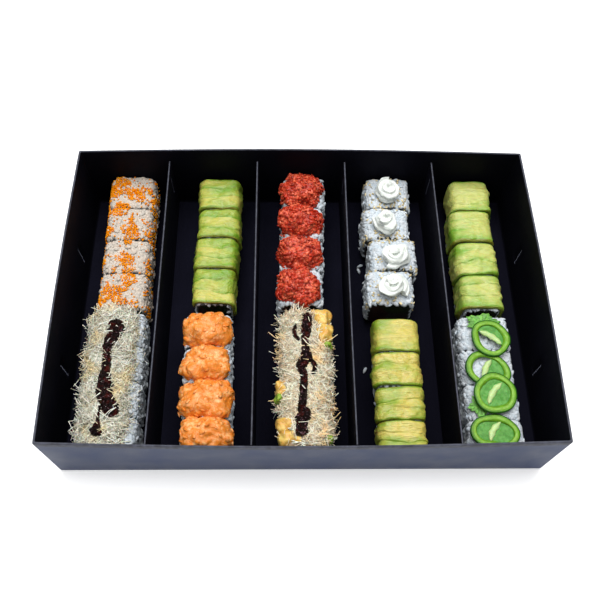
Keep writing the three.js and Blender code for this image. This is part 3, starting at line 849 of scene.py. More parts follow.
def core_body(piece, number, ends, dressed):
    """The outside of a piece's core, and where grains may stand on it. ends says which are the roll's own."""
    around = 44
    verts, cover = [], []
    low_rim = piece.base + 1.6 * piece.half_height
    for share, shrink in STATIONS:
        y = piece.back - piece.length * share
        near_end = not 0.02 < share < 0.98
        inner_end = near_end and not (ends[0] if share < 0.5 else ends[1])
        for i in range(around):
            angle = TAU * (i + 0.5) / around
            lump = 1.1 * MM * ripple((i * 2.7 * MM, y, number * 0.1), 8 * MM, number * 3.0)
            point = piece.at(angle, y, lump - GRAIN_DEPTH, shrink)
            verts.append(point)
            raised = smoothstep(piece.base + 1.5 * MM, piece.base + 4 * MM, point[2])
            hidden = inner_end or (near_end and (dressed or point[2] < low_rim))
            cover.append(0.0 if hidden else raised)
    strips = len(STATIONS) - 1
    kinds = [CUT if r in (0, strips - 1) else RICE for r in range(strips) for _ in range(around)]
    return around, verts, cover, grid_faces(len(STATIONS), around, closed=True), kinds


def roll_core(roll, pieces, materials, dressed):
    """The pressed rice under the outer grains: a closed body for each piece, with its cut faces.
    The grains leave the ends bare where the roll is dressed."""
    shape = Shape()
    for number, piece in enumerate(pieces):
        ends = (number == 0, number == len(pieces) - 1)
        around, verts, cover, faces, kinds = core_body(piece, number, ends, dressed)
        outer_ring = SEAWEED if dressed else CUT
        for base, y in ((0, piece.back), (len(verts) - around, piece.front)):
            outer = list(range(base, base + around))
            for ring, size in enumerate(FACE_RINGS):
                inner = list(range(len(verts), len(verts) + around))
                for i in range(around):
                    x, _, z = piece.at(TAU * (i + 0.5) / around, y, -GRAIN_DEPTH, 0.9 * size)
                    verts.append((x, y, max(z, piece.base + 1 * MM)))
                    cover.append(0.0)
                    j = (i + 1) % around
                    faces.append((outer[i], outer[j], inner[j], inner[i]))
                    filling = FILLINGS[i * 3 // around]
                    kinds.append((outer_ring, SEAWEED, filling, filling)[ring])
                outer = inner
            faces.append(tuple(outer))
            kinds.append(FILLINGS[-1])
        shape.add(verts, faces, kinds, cover)
    return face_outwards(shape.piece(f"{roll}_rice", materials))


def fallen_grains(sizes, material):
    """A few single grains lying on the floor of the tray."""
    shape = Shape()
    rings, around = 7, 10
    for x, y, turn in FALLEN_GRAINS:
        verts = []
        for r in range(rings):
            elevation = math.pi * ((r + 0.5) / rings - 0.5)
            for c in range(around):
                angle = TAU * c / around
                ahead = sizes.grain_length / 2 * math.sin(elevation)
                flat = sizes.grain_width * 0.36 * math.cos(elevation)
                side, height = flat * math.cos(angle), flat * 0.9 * (1 + math.sin(angle))
                verts.append(
                    (
                        x * MM + ahead * math.cos(turn) - side * math.sin(turn),
                        y * MM + ahead * math.sin(turn) + side * math.cos(turn),
                        settings().tray.floor + 0.05 * MM + height,
                    )
                )
        shape.add(verts, tube_faces(rings, around))
    return face_outwards(shape.piece("fallen_grains", [material]))


class TRAY_OT_rolls(bpy.types.Operator):
    """Builds the ten rice rolls, each cut into four, and packs cooked grains over their rice"""

    bl_idname = "sushi_tray.rolls"
    bl_label = "Rice rolls"

    def execute(self, context):
        sizes = settings().roll
        rice = rice_material("Cooked sushi rice", sizes.rice)
        paste = rice_material("Cooked sushi rice, pressed", sizes.rice)
        stained = rice_material("Cooked sushi rice, tinged by roe", linear("#c9bcae"))
        # Painted shade: the cut faces and the fillings in them are made near black, since the ends of the
        # rolls lie in shadow
        cut = rice_material("Cooked sushi rice, cut face, painted shade", shade(sizes.rice, 0.16))
        seaweed = seaweed_material("Roasted seaweed sheet", sizes.seaweed)
        fillings = [
            moist_material("Cucumber, cut, painted shade", linear("#2b351b"), linear("#1b2510"), 4),
            moist_material("Raw salmon, cut, painted shade", linear("#38201a"), linear("#26130d"), 4),
            moist_material("Surimi stick, cut, painted shade", linear("#3a3632"), linear("#2b201d"), 3),
        ]
        tree = scatter_tree("Grains over a roll", "bead")
        width = sizes.grain_width
        grain = {"length": sizes.grain_length, "width": width, "thickness": width * 0.56, "spread": 0.16}
        # The close grains lie flat and cover the rice; the loose ones stand out of it here and there
        close = {"spacing": sizes.grain_spacing, "lift": -0.4 * MM, "lean": 0.16}
        loose = {"spacing": 3.9 * sizes.grain_spacing, "lift": 0.5 * MM, "lean": 0.45}
        for number, roll in enumerate(ROLLS, 1):
            pieces = pieces_of(roll)
            under_roe = roll == "roe_roll"
            materials = [stained if under_roe else paste, seaweed, *fillings, cut]
            core = roll_core(roll, pieces, materials, dressed=roll in AVOCADO_ROLLS)
            keep(core, "roe_rice" if under_roe else "rice", *[p.node for p in pieces])
            grain["material"] = stained if under_roe else rice
            for label, seed, laid in (("grains", number, close), ("loose_grains", number + 30, loose)):
                grains = scatter(f"{roll}_{label}", core, tree, "rice", seed=seed, **laid, **grain)
                hold_inside(grains, *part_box(pieces[0].node))
        keep(fallen_grains(sizes, rice), "rice")
        return {"FINISHED"}


# Toppings


def chunky(point, size, seed):
    """Relief of chopped bits from 0 in the creases to 1 on the lumps, which are about size across."""
    near = noise.voronoi(Vector(point) / size + Vector((seed * 1.7, seed, 0)))[0]
    return min(1.0, (near[1] - near[0]) * 1.6)


# Lowest and highest ring of points of a dome, in degrees of elevation
DOME_LOW, DOME_HIGH = -62, 88


def dome(shape, centre, half, rise, sink, relief_of, around=120, levels=36, power=3.2):
    """A closed lump: a rounded-square dome on a shallow underside. relief_of gives its lumps in metres
    and a tone for each point, which on the fish mounds is painted shade, darker in the creases."""
    verts, tones = [], []
    for r in range(levels):
        elevation = math.radians(DOME_LOW + (DOME_HIGH - DOME_LOW) * r / (levels - 1))
        for c in range(around):
            angle = TAU * c / around
            flat = section_radius(angle, half[0], half[1], power)
            height = (rise if elevation > 0 else sink) * math.sin(elevation)
            reach = flat * math.cos(elevation) ** 0.7
            point = Vector((reach * math.cos(angle), reach * math.sin(angle), height))
            stands_out, tone = relief_of(point)
            verts.append(tuple(Vector(centre) + point + point.normalized() * stands_out))
            tones.append(tone)
    faces = grid_faces(levels, around, closed=True)
    faces.append(tuple(range(around))[::-1])
    top = len(verts)
    stands_out, tone = relief_of(Vector((0, 0, rise)))
    verts.append((centre[0], centre[1], centre[2] + rise + stands_out))
    tones.append(tone)
    last = (levels - 1) * around
    faces += [(last + c, last + (c + 1) % around, top) for c in range(around)]
    shape.add(verts, faces, 0, tones)


# Each chopped fish: its roll, slot and colours; how far its mounds lie to the left and how much longer they
# are than the piece's half, in millimetres; how square they are; the size and height of their ripples, lumps
# and bits; and the height of their finest relief
FISH = {
    "tuna": {
        "roll": "red_roll", "slot": "red_fish", "deep": "#7d0f06", "light": "#e56e4b", "seed": 0,
        "aside": 1.3, "longer": -0.5, "power": 2.4,
        "ripple": (9, 3.8), "lumps": (4.2, 1.3), "bits": (2.3, 0.8), "fine": 0.4,
    },
    "salmon": {
        "roll": "salmon_roll", "slot": "salmon_fish", "deep": "#dd7b28", "light": "#f5b173", "seed": 40,
        "aside": 0.1, "longer": 0.9, "power": 3.0,
        "ripple": (12, 3.4), "lumps": (8.0, 1.8), "bits": (3.6, 0.2), "fine": 0.2,
    },
}
# The loose bits on each fish: their size as shares of a bit's size, then how they lie, in millimetres
FISH_BITS = {
    "tuna": {"size": (1.35, 0.85, 0.42), "spacing": 2.2, "lift": 0.2, "lean": 0.7, "spread": 0.5},
    "salmon": {"size": (1.8, 1, 0.4), "spacing": 5.5, "lift": 0.0, "lean": 0.3, "spread": 0.35},
}


class TRAY_OT_chopped_fish(bpy.types.Operator):
    """Heaps chopped tuna on one roll and chopped salmon in cream sauce on another"""

    bl_idname = "sushi_tray.chopped_fish"
    bl_label = "Chopped fish"

    def execute(self, context):
        sizes = settings().topping
        colours = {"tuna": sizes.red_fish, "salmon": sizes.salmon}
        tree = scatter_tree("Chopped bits over a mound", "bead")
        for fish, look in FISH.items():
            deep, light = linear(look["deep"]), linear(look["light"])
            flesh = fish_material(f"Chopped raw {fish}", colours[fish], deep, light)
            pieces = pieces_of(look["roll"])
            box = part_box(pieces[-1].node)
            mound = self.mounds(fish, look, pieces, flesh)
            keep(mound, look["slot"])
            hem = pieces[0].base + 26 * MM
            set_cover(mound, lambda co: smoothstep(hem, hem + 4 * MM, co.z))
            bits = dict(FISH_BITS[fish])
            length, width, thickness = [share * sizes.fish_bit for share in bits.pop("size")]
            bits.update(spacing=bits["spacing"] * MM, lift=bits["lift"] * MM)
            bits.update(length=length, width=width, thickness=thickness, bend=0.6 * MM, bend_size=3 * MM)
            chopped = scatter(f"{fish}_bits", mound, tree, look["slot"], seed=51, material=flesh, **bits)
            for piece in (mound, chopped):
                hold_inside(piece, *box)
        return {"FINISHED"}

    def mounds(self, fish, look, pieces, flesh):
        """A mound of one fish on each piece of its roll."""
        shape = Shape()
        aside = look["aside"] * MM
        for number, piece in enumerate(pieces):
            low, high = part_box(piece.node)
            seed = number * 5.0 + look["seed"]
            centre = ((low[0] + high[0]) / 2 - aside, piece.y, piece.base + 33.0 * MM)
            half = ((high[0] - low[0]) / 2 - 1.6 * MM - aside, piece.length / 2 + look["longer"] * MM)

            def relief_of(point):
                big = look["ripple"][1] * ripple(point, look["ripple"][0] * MM, seed)
                lumps = chunky(point, look["lumps"][0] * MM, seed)
                bits = chunky(point, look["bits"][0] * MM, seed + 3)
                fine = look["fine"] * ripple(point, 3 * MM, seed)
                height = big + look["lumps"][1] * (lumps - 0.4) + look["bits"][1] * bits
                # The second value is the tone: painted shade, low in the creases between lumps and high on
                # them
                return height * MM + fine * MM, 0.3 + 0.5 * lumps + 0.4 * bits

            dome(shape, centre, half, 12.0 * MM, 9 * MM, relief_of, power=look["power"])
        return face_outwards(shape.piece(f"{fish}_mounds", [flesh], "tone"))


# Along a slice of avocado, from the back: share of its length, and how proud it stands there
SLICE_PROFILE = (
    (0.02, 0), (0.1, 0.2), (0.22, 0.45), (0.36, 0.7), (0.5, 0.9),
    (0.64, 1.02), (0.78, 1.12), (0.9, 1.15), (0.97, 0.75),
)


def drape(shape, piece, thickness, ripeness, hems, slices, seed):
    """A closed blanket over a piece from hem to hem, in slices that overlap like tiles towards the front.
    thickness is in metres and ripeness(slice, share, t) colours it from yellow to green, and olive past 1,
    partly browned edges and partly painted shade."""
    across = 64
    rows = [(number, share, proud) for number in range(slices) for share, proud in SLICE_PROFILE]
    chance = random.Random(seed)
    widths = [chance.uniform(0.75, 1.25) for _ in range(slices)]
    edges = [sum(widths[:i]) / sum(widths) for i in range(slices + 1)]
    steps = [1 - 0.28 * chance.random() for _ in range(slices)]
    fullness = [chance.uniform(0.75, 1.3) for _ in range(slices + 1)]
    tilts = [chance.uniform(-5, 5) for _ in range(slices + 1)]
    ragged = [[math.radians(chance.uniform(-12, 8)) for _ in range(2)] for _ in range(slices + 1)]
    verts, values = [], []
    for r, (number, share, proud) in enumerate(rows):
        outer, inner, shades = [], [], []
        from_end = min(r, len(rows) - 1 - r)
        lean = [ragged[number][k] + (ragged[number + 1][k] - ragged[number][k]) * share for k in (0, 1)]
        proud = steps[number] + (1 - steps[number]) * proud
        proud *= fullness[number] + (fullness[number + 1] - fullness[number]) * share
        rounding = (0.66, 0.93, 1.0)[min(2, from_end)]
        tilt = tilts[number] + (tilts[number + 1] - tilts[number]) * share
        along = piece.length * (edges[number] + (edges[number + 1] - edges[number]) * share)
        for i in range(across):
            t = i / (across - 1)
            angle = hems[0] + lean[0] + (hems[1] - hems[0] + lean[1] - lean[0]) * t
            flow = (t * 46 * MM, (number + share) * 6 * MM, 0)
            wave = 4.2 * ripple(flow, 15 * MM, seed) + 1.3 * ripple(flow, 5 * MM, seed + 1) + tilt * (t - 0.5)
            wave *= (0.25, 0.35, 0.5, 0.7, 0.85, 1)[min(5, from_end)]
            y = piece.back - along + wave * MM
            y = min(piece.back + 0.6 * MM, max(piece.front - 0.6 * MM, y))
            place = (t * 44 * MM, y, 0)
            lump = 1 + 0.5 * ripple(place, 6 * MM, seed + 9) + 0.3 * ripple(place, 2.4 * MM, seed)
            hem = smoothstep(0, 0.06, min(t, 1 - t))
            outer.append(piece.at(angle, y, thickness * proud * rounding * (0.3 + 0.7 * hem) * lump))
            inner.append(piece.at(angle, y, -0.3 * MM))
            # The rows at a piece's ends go olive: partly browned cut edges, partly painted shade in the
            # joints
            shades.append(ripeness(number, share, t) + (0.9 if from_end < 2 else 0))
        verts += outer + inner[::-1]
        values += shades + shades[::-1]
    count = 2 * across
    faces = grid_faces(len(rows), count, closed=True)
    for row, flip in ((0, False), (len(rows) - 1, True)):
        base = row * count
        for i in range(across - 1):
            quad = (base + i, base + i + 1, base + count - 2 - i, base + count - 1 - i)
            faces.append(quad[::-1] if flip else quad)
    shape.add(verts, faces, 0, values)


# Each avocado roll: which side it lies on, how green it is overall and along its left side, its tint (red,
# green, blue), and the pieces whose hems stop short so that rice shows, in degrees
AVOCADO_ROLLS = {
    "avocado_roll_left": ("left", 0.7, 0.0, (1, 1, 1), {4: (-8, 150)}),
    "avocado_roll_right": ("right", 0.4, 0.05, (1.0, 1.1, 1.5), {}),
    "avocado_roll_front": ("front", 0.2, 0.6, (1.14, 1.0, 1.12), {2: (8, 168), 3: (-5, 172)}),
}
FULL_HEMS = (-14, 194)


class TRAY_OT_avocado(bpy.types.Operator):
    """Lays thin avocado slices over three rolls, like tiles, down both of their sides"""

    bl_idname = "sushi_tray.avocado"
    bl_label = "Avocado"

    def execute(self, context):
        sizes = settings().topping
        ends = (sizes.avocado_green, sizes.avocado_yellow)
        slices = sizes.avocado_slices
        for roll_number, (roll, (side, green, left_green, tint, short)) in enumerate(AVOCADO_ROLLS.items()):
            flesh = avocado_material(f"Avocado, sliced, {side}", *[scaled(colour, tint) for colour in ends])
            shape = Shape()
            for number, piece in enumerate(pieces_of(roll), 1):
                seed = roll_number * 20 + number * 4.0
                hems = [math.radians(a) for a in short.get(number, FULL_HEMS)]
                chance = random.Random(number * 31 + roll_number)
                chances = [chance.uniform(-0.25, 0.25) for _ in range(slices)]

                def ripeness(slice_number, share, t):
                    across, along = t * MM, (slice_number + share) * 9 * MM
                    patch = ripple((30 * across, along, 0), 15 * MM, seed)
                    fine = ripple((24 * across, along, 0), 5 * MM, seed + 2)
                    # Near a slice's front edge it turns greener, then olive in the crease: partly the browned
                    # edge, partly painted shade
                    edge = 0.45 * smoothstep(0.35, 0.95, share) + 0.75 * smoothstep(0.86, 1.0, share)
                    side_green = left_green * smoothstep(0.5, 0.68, t)
                    base = green - 0.3 + chances[slice_number] + side_green
                    return base + edge * green + 0.95 * patch + 0.4 * fine

                drape(shape, piece, sizes.avocado_slice, ripeness, hems, slices, seed)
            keep(face_outwards(shape.piece(f"{roll}_slices", [flesh], "ripe")), "avocado")
        return {"FINISHED"}


def top_sheet(name, pieces, out, span, cover):
    """An open sheet over the rice, on which small things are scattered; it is thrown away afterwards."""
    shape = Shape()
    across, along = 40, 14
    for piece in pieces:
        verts, values = [], []
        for r in range(along):
            y = piece.back - piece.length * r / (along - 1)
            for i in range(across):
                angle = math.radians(span[0] + (span[1] - span[0]) * i / (across - 1))
                point = piece.at(angle, y, out, 0.96 if r in (0, along - 1) else 1)
                verts.append(point)
                values.append(cover(piece, point))
        shape.add(verts, [f[::-1] for f in grid_faces(along, across, closed=False)], 0, values)
    return shape.piece(name, [])


def sprinkle(sheet, tree, slot, layers, **common):
    """Scatters each layer over a sheet, which is then thrown away. common is what the layers share."""
    for name, layer in layers.items():
        scatter(name, sheet, tree, slot, **{**common, **layer})
    bpy.data.objects.remove(sheet)


class TRAY_OT_roe(bpy.types.Operator):
    """Scatters flying fish roe over the first roll in connected patches, with a few dark flakes"""

    bl_idname = "sushi_tray.roe"
    bl_label = "Roe"

    def execute(self, context):
        sizes = settings().topping
        eggs = egg_material("Flying fish roe", sizes.roe)
        fleck = seaweed_material("Seaweed flakes", settings().roll.seaweed)

        def less_on_the_right(piece, point):
            return 1.0 if point[0] < piece.x + 12 * MM else 0.4

        sheet = top_sheet("roe_sheet", pieces_of("roe_roll"), 0.2 * MM, (-15, 195), less_on_the_right)
        egg = sizes.roe_diameter
        layers = {
            "roe_patches": {
                "spacing": egg * 0.68, "lift": 0.3 * MM, "cover": 0.495, "patch_size": 13 * MM, "seed": 5,
            },
            "roe_strays": {
                "spacing": 2.8 * MM, "lift": 0.4 * MM, "cover": 0.48, "patch_size": 7 * MM, "seed": 9,
            },
            "roe_roll_flakes": {
                "spacing": 9 * MM, "length": 1.6 * MM, "width": 1.2 * MM, "thickness": 0.7 * MM,
                "lift": 0.8 * MM, "seed": 12, "material": fleck,
            },
        }
        tree = scatter_tree("Roe over rice", "bead")
        sprinkle(sheet, tree, "roe_rice", layers, length=egg, width=egg, thickness=egg, material=eggs)
        return {"FINISHED"}


# Where each swirl stands on the cream roll: its middle and how far it reaches, in millimetres
SWIRLS = ((70.3, 99, 10.9), (66.4, 70, 10.4), (71.4, 39.5, 11.0), (68.7, 12, 12.2))


def swirl_coil(number, middle, outer, base, height):
    """A ridged tube of cream that coils inwards and up."""
    ring, steps, turns = 20, 240, 2.1 + 0.3 * (number % 2)
    verts = []
    for s in range(steps):
        t = s / (steps - 1)
        tube = (3.7 * (1 - t) ** 0.6 + 0.7) * MM * (1 + 0.2 * math.sin(t * 31 + number))
        away = (outer - 4.0 * MM) * (1 - t) ** 0.75 * (1 + 0.25 * math.sin(t * 17 + number * 2))
        turn = TAU * turns * t + number * 1.4
        lean = 1.6 * MM * t * t
        outward = Vector((math.cos(turn), math.sin(turn), 0))
        x = middle[0] + away * math.cos(turn) + lean
        y = middle[1] + away * math.sin(turn) + 0.5 * lean
        centre = Vector((x, y, base + tube * 0.75 + (height - 1.0 * MM) * t**1.1))
        for i in range(ring):
            angle = TAU * i / ring
            ridge = 1 + 0.24 * math.cos(4 * angle + 14 * t) + 0.1 * math.sin(9 * angle - 24 * t)
            offset = outward * math.cos(angle) * tube * ridge
            offset.z = math.sin(angle) * tube * ridge * 0.85
            point = centre + offset
            point += offset.normalized() * 1.6 * MM * ripple(point, 6 * MM, number * 4.0)
            verts.append((point.x, point.y, max(point.z, base)))
    return verts, tube_faces(steps, ring)


def swirl_heart(middle, outer, base, height):
    """The cone of cream that fills the coil."""
    levels, around = 8, 24
    verts = []
    for r in range(levels):
        narrowing = (1 - r / levels) ** 0.7
        for c in range(around):
            angle = TAU * c / around
            x = middle[0] + outer * 0.68 * math.cos(angle) * narrowing
            y = middle[1] + outer * 0.68 * math.sin(angle) * narrowing
            verts.append((x, y, base + (height - 1.8 * MM) * r / levels))
    return verts, tube_faces(levels, around)


class TRAY_OT_cream(bpy.types.Operator):
    """Pipes a swirl of cream on each piece of one roll, and sprinkles sesame round them"""

    bl_idname = "sushi_tray.cream"
    bl_label = "Cream and sesame"

    def execute(self, context):
        sizes = settings().topping
        cream = cream_material("Cream cheese, piped", sizes.cream)
        seeds = seed_material("Toasted sesame", linear("#cab88a"))
        fleck = seaweed_material("Seaweed showing in the joints", settings().roll.seaweed)
        for number, (x, y, reach) in enumerate(SWIRLS, 1):
            low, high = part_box(f"cream_swirl_{number}")
            place = ((x * MM, y * MM), reach * MM, low[2] - 0.6 * MM, high[2] - low[2])
            body = Shape()
            body.add(*swirl_coil(number, *place))
            body.add(*swirl_heart(*place))
            swirl = face_outwards(body.piece(f"cream_{number}", [cream]))
            remesh = swirl.modifiers.new("Blend the coils", "REMESH")
            remesh.mode = "VOXEL"
            remesh.voxel_size = 0.36 * MM
            remesh.use_smooth_shade = True
            soften = swirl.modifiers.new("Soften", "SMOOTH")
            soften.factor = 0.5
            soften.iterations = 7
            applied(swirl)
            keep(swirl, "cream", f"cream_swirl_{number}")
        tree = scatter_tree("Seeds over rice", "bead")
        pieces = pieces_of("cream_roll")

        def near_swirl(piece, point):
            gaps = [math.dist(point[:2], (x * MM, y * MM)) - reach * MM for x, y, reach in SWIRLS]
            ring = 1 - smoothstep(1.0 * MM, 6 * MM, min(gaps))
            joint = min(point[1] - piece.front, piece.back - point[1])
            return max(0.06, 0.75 * ring, 0.7 * (1 - smoothstep(1 * MM, 5 * MM, joint)))

        def in_joint(piece, point):
            gap = point[1] - piece.front
            return 1.0 if gap < 1.5 * MM and abs(point[0] - piece.x) < 9 * MM else 0.0

        length = sizes.sesame_length
        layers = {
            "sesame": {
                "spacing": 2.2 * MM, "length": length, "width": length * 0.58, "thickness": length * 0.3,
                "lift": 0.5 * MM, "lean": 0.6, "cover": 0.56, "patch_size": 9 * MM, "seed": 21,
                "material": seeds,
            },
        }
        sprinkle(top_sheet("sesame_sheet", pieces, 0.2 * MM, (15, 165), near_swirl), tree, "rice", layers)
        layers = {
            "cream_roll_flakes": {
                "spacing": 1.5 * MM, "length": 2.6 * MM, "width": 1.4 * MM, "thickness": 0.9 * MM,
                "lift": 0.1 * MM, "cover": 0.6, "patch_size": 6 * MM, "seed": 25, "material": fleck,
            },
        }
        sprinkle(top_sheet("joint_sheet", pieces[1:3], 0.1 * MM, (45, 135), in_joint), tree, "rice", layers)
        return {"FINISHED"}


# Each heap of shreds: its roll, how far its middle lies from the roll's in millimetres, which lane it is in,
# and how much of red, green and blue its shreds have
HEAPS = {
    "crisp_heap_left": {
        "roll": "crisp_roll_left", "offset": -5, "side": "left", "warmth": (1.04, 1.0, 0.9),
    },
    "crisp_heap_middle": {
        "roll": "crisp_roll_middle", "offset": 0.3, "side": "middle", "warmth": (1.45, 1.15, 0.86),
    },
}
# Things that stick out of the middle heap: x, y, and reach in x and y, in millimetres
CREAM_LUMPS = (
    (12.5, -15, 9, 7.5), (16, -27, 6.5, 8), (-7, -107, 11, 6.5), (-12.5, -98, 6.5, 6), (-15.5, -70, 4, 6),
)
GREEN_BITS = ((18.5, -36.5, 3, 2.6), (-17, -78, 2.4, 3.4), (17.5, -107, 3, 3.4))
# Middle lines of the sauce: x, y and width in millimetres
SAUCE_LINES = {
    "crisp_heap_left": (
        (
            (-136.5, -18, 5), (-136.2, -21.2, 10), (-136.1, -28.9, 10), (-140.6, -37.3, 6),
            (-140.1, -47.7, 6), (-139.8, -56.5, 6), (-140.2, -65.2, 9), (-139.4, -72.3, 10.5),
            (-136.8, -80.8, 10), (-132.5, -87.7, 9.5), (-130.4, -92.5, 6),
        ),
        ((-140.5, -84, 2), (-141.2, -92.9, 1.8), (-141.1, -98, 3.5), (-142, -103, 7.6), (-143.5, -106, 4)),
    ),
    "crisp_heap_middle": (
        (
            (3.8, -13, 5), (3.8, -15.1, 6), (3, -23.7, 7.5), (1.9, -32.9, 5), (2.1, -40.4, 5.5),
            (2, -48.6, 9), (-2.1, -55.3, 6), (0.5, -60.4, 5.5), (0.4, -69.7, 5), (0, -76.8, 5.5),
            (-0.4, -81.8, 5.5), (-1.1, -86.6, 6), (1.5, -90.8, 8), (-1.2, -94.2, 8), (-1.2, -103, 8),
            (-0.3, -107, 5),
        ),
        ((-4.6, -22, 2), (-6, -27, 3), (-4.6, -32, 2.6), (-1.8, -34, 2)),
        ((4.5, -49, 2.5), (8, -53, 3), (8.4, -58, 3), (6, -61, 2.5)),
    ),
}


def heap_core(name, look, material):
    """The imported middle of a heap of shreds: a lumpy arch over the roll, closed underneath."""
    pieces = pieces_of(look["roll"])
    offset, half_width = look["offset"], 16.5 * MM
    low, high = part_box(name)
    middle = pieces[1].x + offset * MM
    hem, top = low[2] + 1.0 * MM, 41.3 * MM
    back, front = pieces[0].back - 0.5 * MM, pieces[-1].front + 1 * MM
    across, along = 48, 84
    verts = []
    for r in range(along):
        share = r / (along - 1)
        y = back + (front - back) * share
        from_end = min(share, 1 - share) * (back - front)
        shrink = 0.8 + 0.2 * smoothstep(0, 5 * MM, from_end)
        for i in range(across):
            angle = math.pi * i / (across - 1)
            wave = ripple((angle * 20 * MM, y, 0), 9 * MM, top * 100 + offset)
            out = 1.5 * MM * wave + 0.5 * MM * ripple((angle * 20 * MM, y, 0), 3 * MM, offset)
            reach = (half_width + out + 1.5 * MM * ripple((0, y, angle > 1.5), 16 * MM, 3)) * shrink
            side = math.copysign(abs(math.cos(angle)) ** 0.6, math.cos(angle))
            height = (top - hem) * max(0.0, math.sin(angle)) ** 0.6 * (0.9 + 0.1 * shrink)
            verts.append((middle + side * reach, y, hem + height + out * math.sin(angle)))
    return face_outwards(new_piece(f"{name}_core", verts, tube_faces(along, across, flip=True), [material]))


def smooth_path(line, step):
    """A curve through the points of a sauce line, with a point about every step. z holds the width."""
    points = [Vector((x * MM, y * MM, width * MM)) for x, y, width in line]
    path = []
    for i, (a, b) in enumerate(zip(points, points[1:])):
        before, after = points[max(0, i - 1)], points[min(len(points) - 1, i + 2)]
        steps = max(3, round((b - a).to_2d().length / step))
        for k in range(steps):
            t = k / steps
            curve = 2 * a + (b - before) * t + (2 * before - 5 * a + 4 * b - after) * t * t
            path.append(0.5 * (curve + (3 * a - before - 3 * b + after) * t**3))
    return [*path, points[-1]]


def sauce_line(shape, line, surface, seed):
    """A thick trail of sauce along a line, with a wavering edge, lying on whatever is under it."""
    path = smooth_path(line, 0.7 * MM)
    across = 13
    rows = []
    for r, point in enumerate(path):
        ahead = path[min(len(path) - 1, r + 1)] - path[max(0, r - 1)]
        side = Vector((ahead.y, -ahead.x, 0)).normalized()
        end = min(1.0, math.sqrt(min(r, len(path) - 1 - r) / 3 + 0.02))
        tops, unders = [], []
        for i in range(across):
            c = 2 * i / (across - 1) - 1
            half = 0.57 * point.z * end * (1 + 0.3 * ripple((point.x, point.y, c > 0), 3.5 * MM, seed))
            x, y = point.x + side.x * half * c, point.y + side.y * half * c
            heights = []
            for dx, dy in ((0, 0), (0.8, 0), (-0.8, 0), (0, 0.8), (0, -0.8)):
                hit = surface.ray_cast(Vector((x + dx * MM, y + dy * MM, 0.08)), Vector((0, 0, -1)))[0]
                if hit is not None:
                    heights.append(hit.z)
            ground = sum(heights) / len(heights) if heights else 0.04
            swell = math.sqrt(max(0.0, 1 - c * c)) * min(1.0, half / (1.6 * MM))
            lump = 1 + 0.55 * ripple((x, y, 0), 2.2 * MM, seed + 5)
            tops.append((x, y, ground - 0.2 * MM + 2.9 * MM * swell * lump))
            unders.append((x, y, ground - 1.1 * MM))
        rows.append(tops + unders[::-1])
    shape.add([v for row in rows for v in row], tube_faces(len(rows), 2 * across, flip=True))


def surface_of(pieces):
    """All the faces of some pieces, to be looked up by ray."""
    verts, faces = [], []
    for piece in pieces:
        start = len(verts)
        verts += [v.co.copy() for v in piece.data.vertices]
        faces += [[start + i for i in face.vertices] for face in piece.data.polygons]
    return BVHTree.FromPolygons(verts, faces)


def clear_of_sauce(name, co):
    """How far a point lies from the sauce of a heap."""
    points = [point for line in SAUCE_LINES[name] for point in line]
    return min(math.dist(co.xy, (x * MM, y * MM)) - width * MM / 2 for x, y, width in points)


def clear_of_lumps(name, co):
    """0 inside the cream lumps that stick out of the middle heap, and 1 away from them."""
    if name != "crisp_heap_middle":
        return 1.0
    shares = [
        math.hypot((co.x - x * MM) / (rx * MM), (co.y - y * MM) / (ry * MM)) for x, y, rx, ry in CREAM_LUMPS
    ]
    return smoothstep(0.55, 1.0, min(shares))


